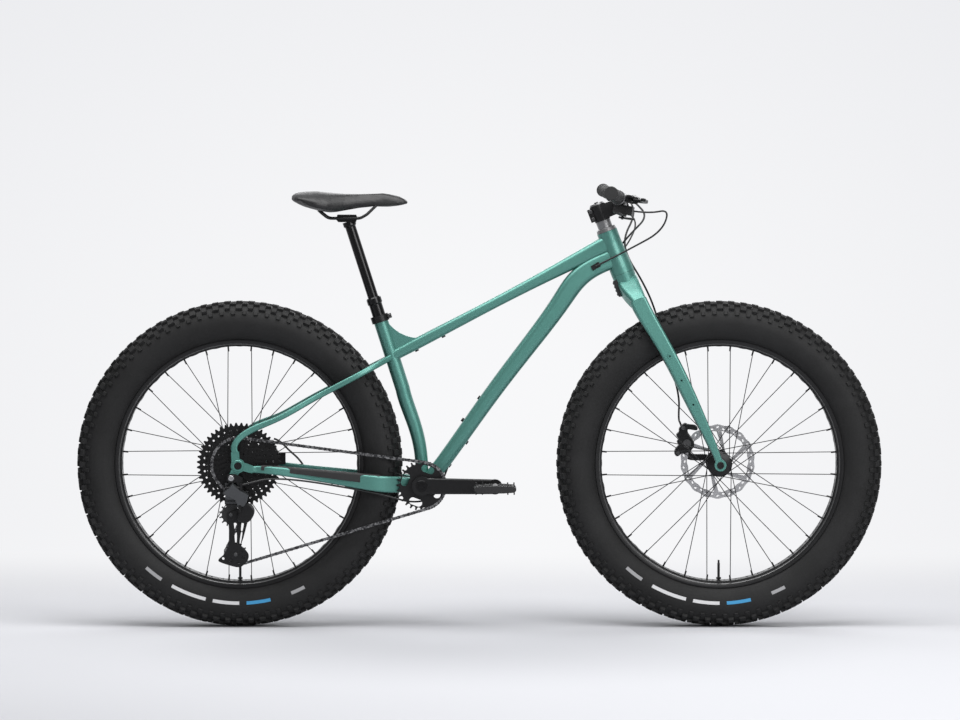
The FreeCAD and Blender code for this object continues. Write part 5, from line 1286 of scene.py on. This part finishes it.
# Camera, light and floor
CAMERA_DISTANCE = 12.0
CAMERA_DROP = math.radians(2.5)
SENSOR = 36
PIXEL = 0.0024
PICTURE_WIDTH, PICTURE_HEIGHT = 960, 720
GROUND_ROW = 626.2


def make_camera():
    target = Vector((0.0014, 0, (GROUND_ROW - PICTURE_HEIGHT / 2) * PIXEL))
    data = bpy.data.cameras.new("camera")
    data.sensor_width = SENSOR
    data.lens = SENSOR * CAMERA_DISTANCE / (PICTURE_WIDTH * PIXEL)
    camera = bpy.data.objects.new("camera", data)
    back = Vector((0, -math.cos(CAMERA_DROP), math.sin(CAMERA_DROP)))
    camera.location = target + back * CAMERA_DISTANCE
    camera.rotation_euler = (-back).to_track_quat("-Z", "Y").to_euler()
    data.clip_end = 100
    scene.collection.objects.link(camera)
    scene.camera = camera


def area_light(name, location, target, size, power):
    data = bpy.data.lights.new(name, "AREA")
    data.shape = "RECTANGLE"
    data.size, data.size_y = size
    data.energy = power
    lamp = bpy.data.objects.new(name, data)
    lamp.location = location
    lamp.rotation_euler = (Vector(target) - Vector(location)).to_track_quat("-Z", "Y").to_euler()
    scene.collection.objects.link(lamp)


def make_light():
    area_light("top", (-0.2, -0.7, 3.2), (0, 0, 0.4), (4.2, 1.8), 122)
    area_light("front", (2.0, -3.6, 2.2), (0.2, 0, 0.5), (2.8, 1.8), 84)
    area_light("back", (0.6, 3.0, 2.4), (0, 0, 0.6), (3.5, 1.2), 45)
    world = bpy.data.worlds.new("studio")
    world.use_nodes = True
    background = world.node_tree.nodes["Background"]
    background.inputs["Color"].default_value = (0.93, 0.935, 0.95, 1)
    background.inputs["Strength"].default_value = 0.32
    scene.world = world


def make_floor():
    """Pale floor that bends up into a pale backdrop."""
    bend, start = 2.5, 3.0
    profile = [(-9.0, 0.0), (start, 0.0)]
    for step in range(1, 13):
        angle = math.pi / 2 * step / 12
        profile.append((start + bend * math.sin(angle), bend - bend * math.cos(angle)))
    profile.append((start + bend, 9.0))
    verts = []
    for y, z in profile:
        verts += [Vector((-14, y, z - 0.0005)), Vector((14, y, z - 0.0005))]
    floor = mesh_object("floor", verts, ring_faces(len(profile), 2, False, False), floor_material(), 80)


def main():
    make_camera()
    make_light()
    make_floor()
    finish_nodes()
    make_cockpit_cables()
    make_front_hose()
    make_frame_hoses()
    for name, centre, body in (("front", FRONT, "front_wheel"), ("rear", REAR, "rear_wheel")):
        make_tyre(f"{name}_tyre", centre, body)
        make_rim(f"{name}_rim", centre, body)
        make_nipples(f"{name}_rim", centre, body)
    make_rotor("front_rotor", FRONT, 0.060, 0.090, "front_wheel")
    make_rotor("rear_rotor", REAR, 0.078, 0.080, "rear_wheel")
    make_saddle()
    make_grip("right_grip", right_bar)
    make_grip("left_grip", left_bar)
    make_pedal("right_platform", 1, "right_pedal", "pedal_right")
    make_pedal("left_platform", -1, "left_pedal", "pedal_left")
    make_guard()
    make_stem_bolts()
    make_collar_bolt()
    make_crown_pad()
    make_levers()
    make_cage()
    make_link_cover()
    make_knuckle_cover()
    make_hanger_bolt()
    make_cassette()
    make_front_caliper()
    make_axle_ends()
    make_crank_bolts()
    make_tyre_bars("front_tyre", FRONT, "front_wheel")
    make_tyre_bars("rear_tyre", REAR, "rear_wheel")
    scene.view_settings.view_transform = "Standard"


main()
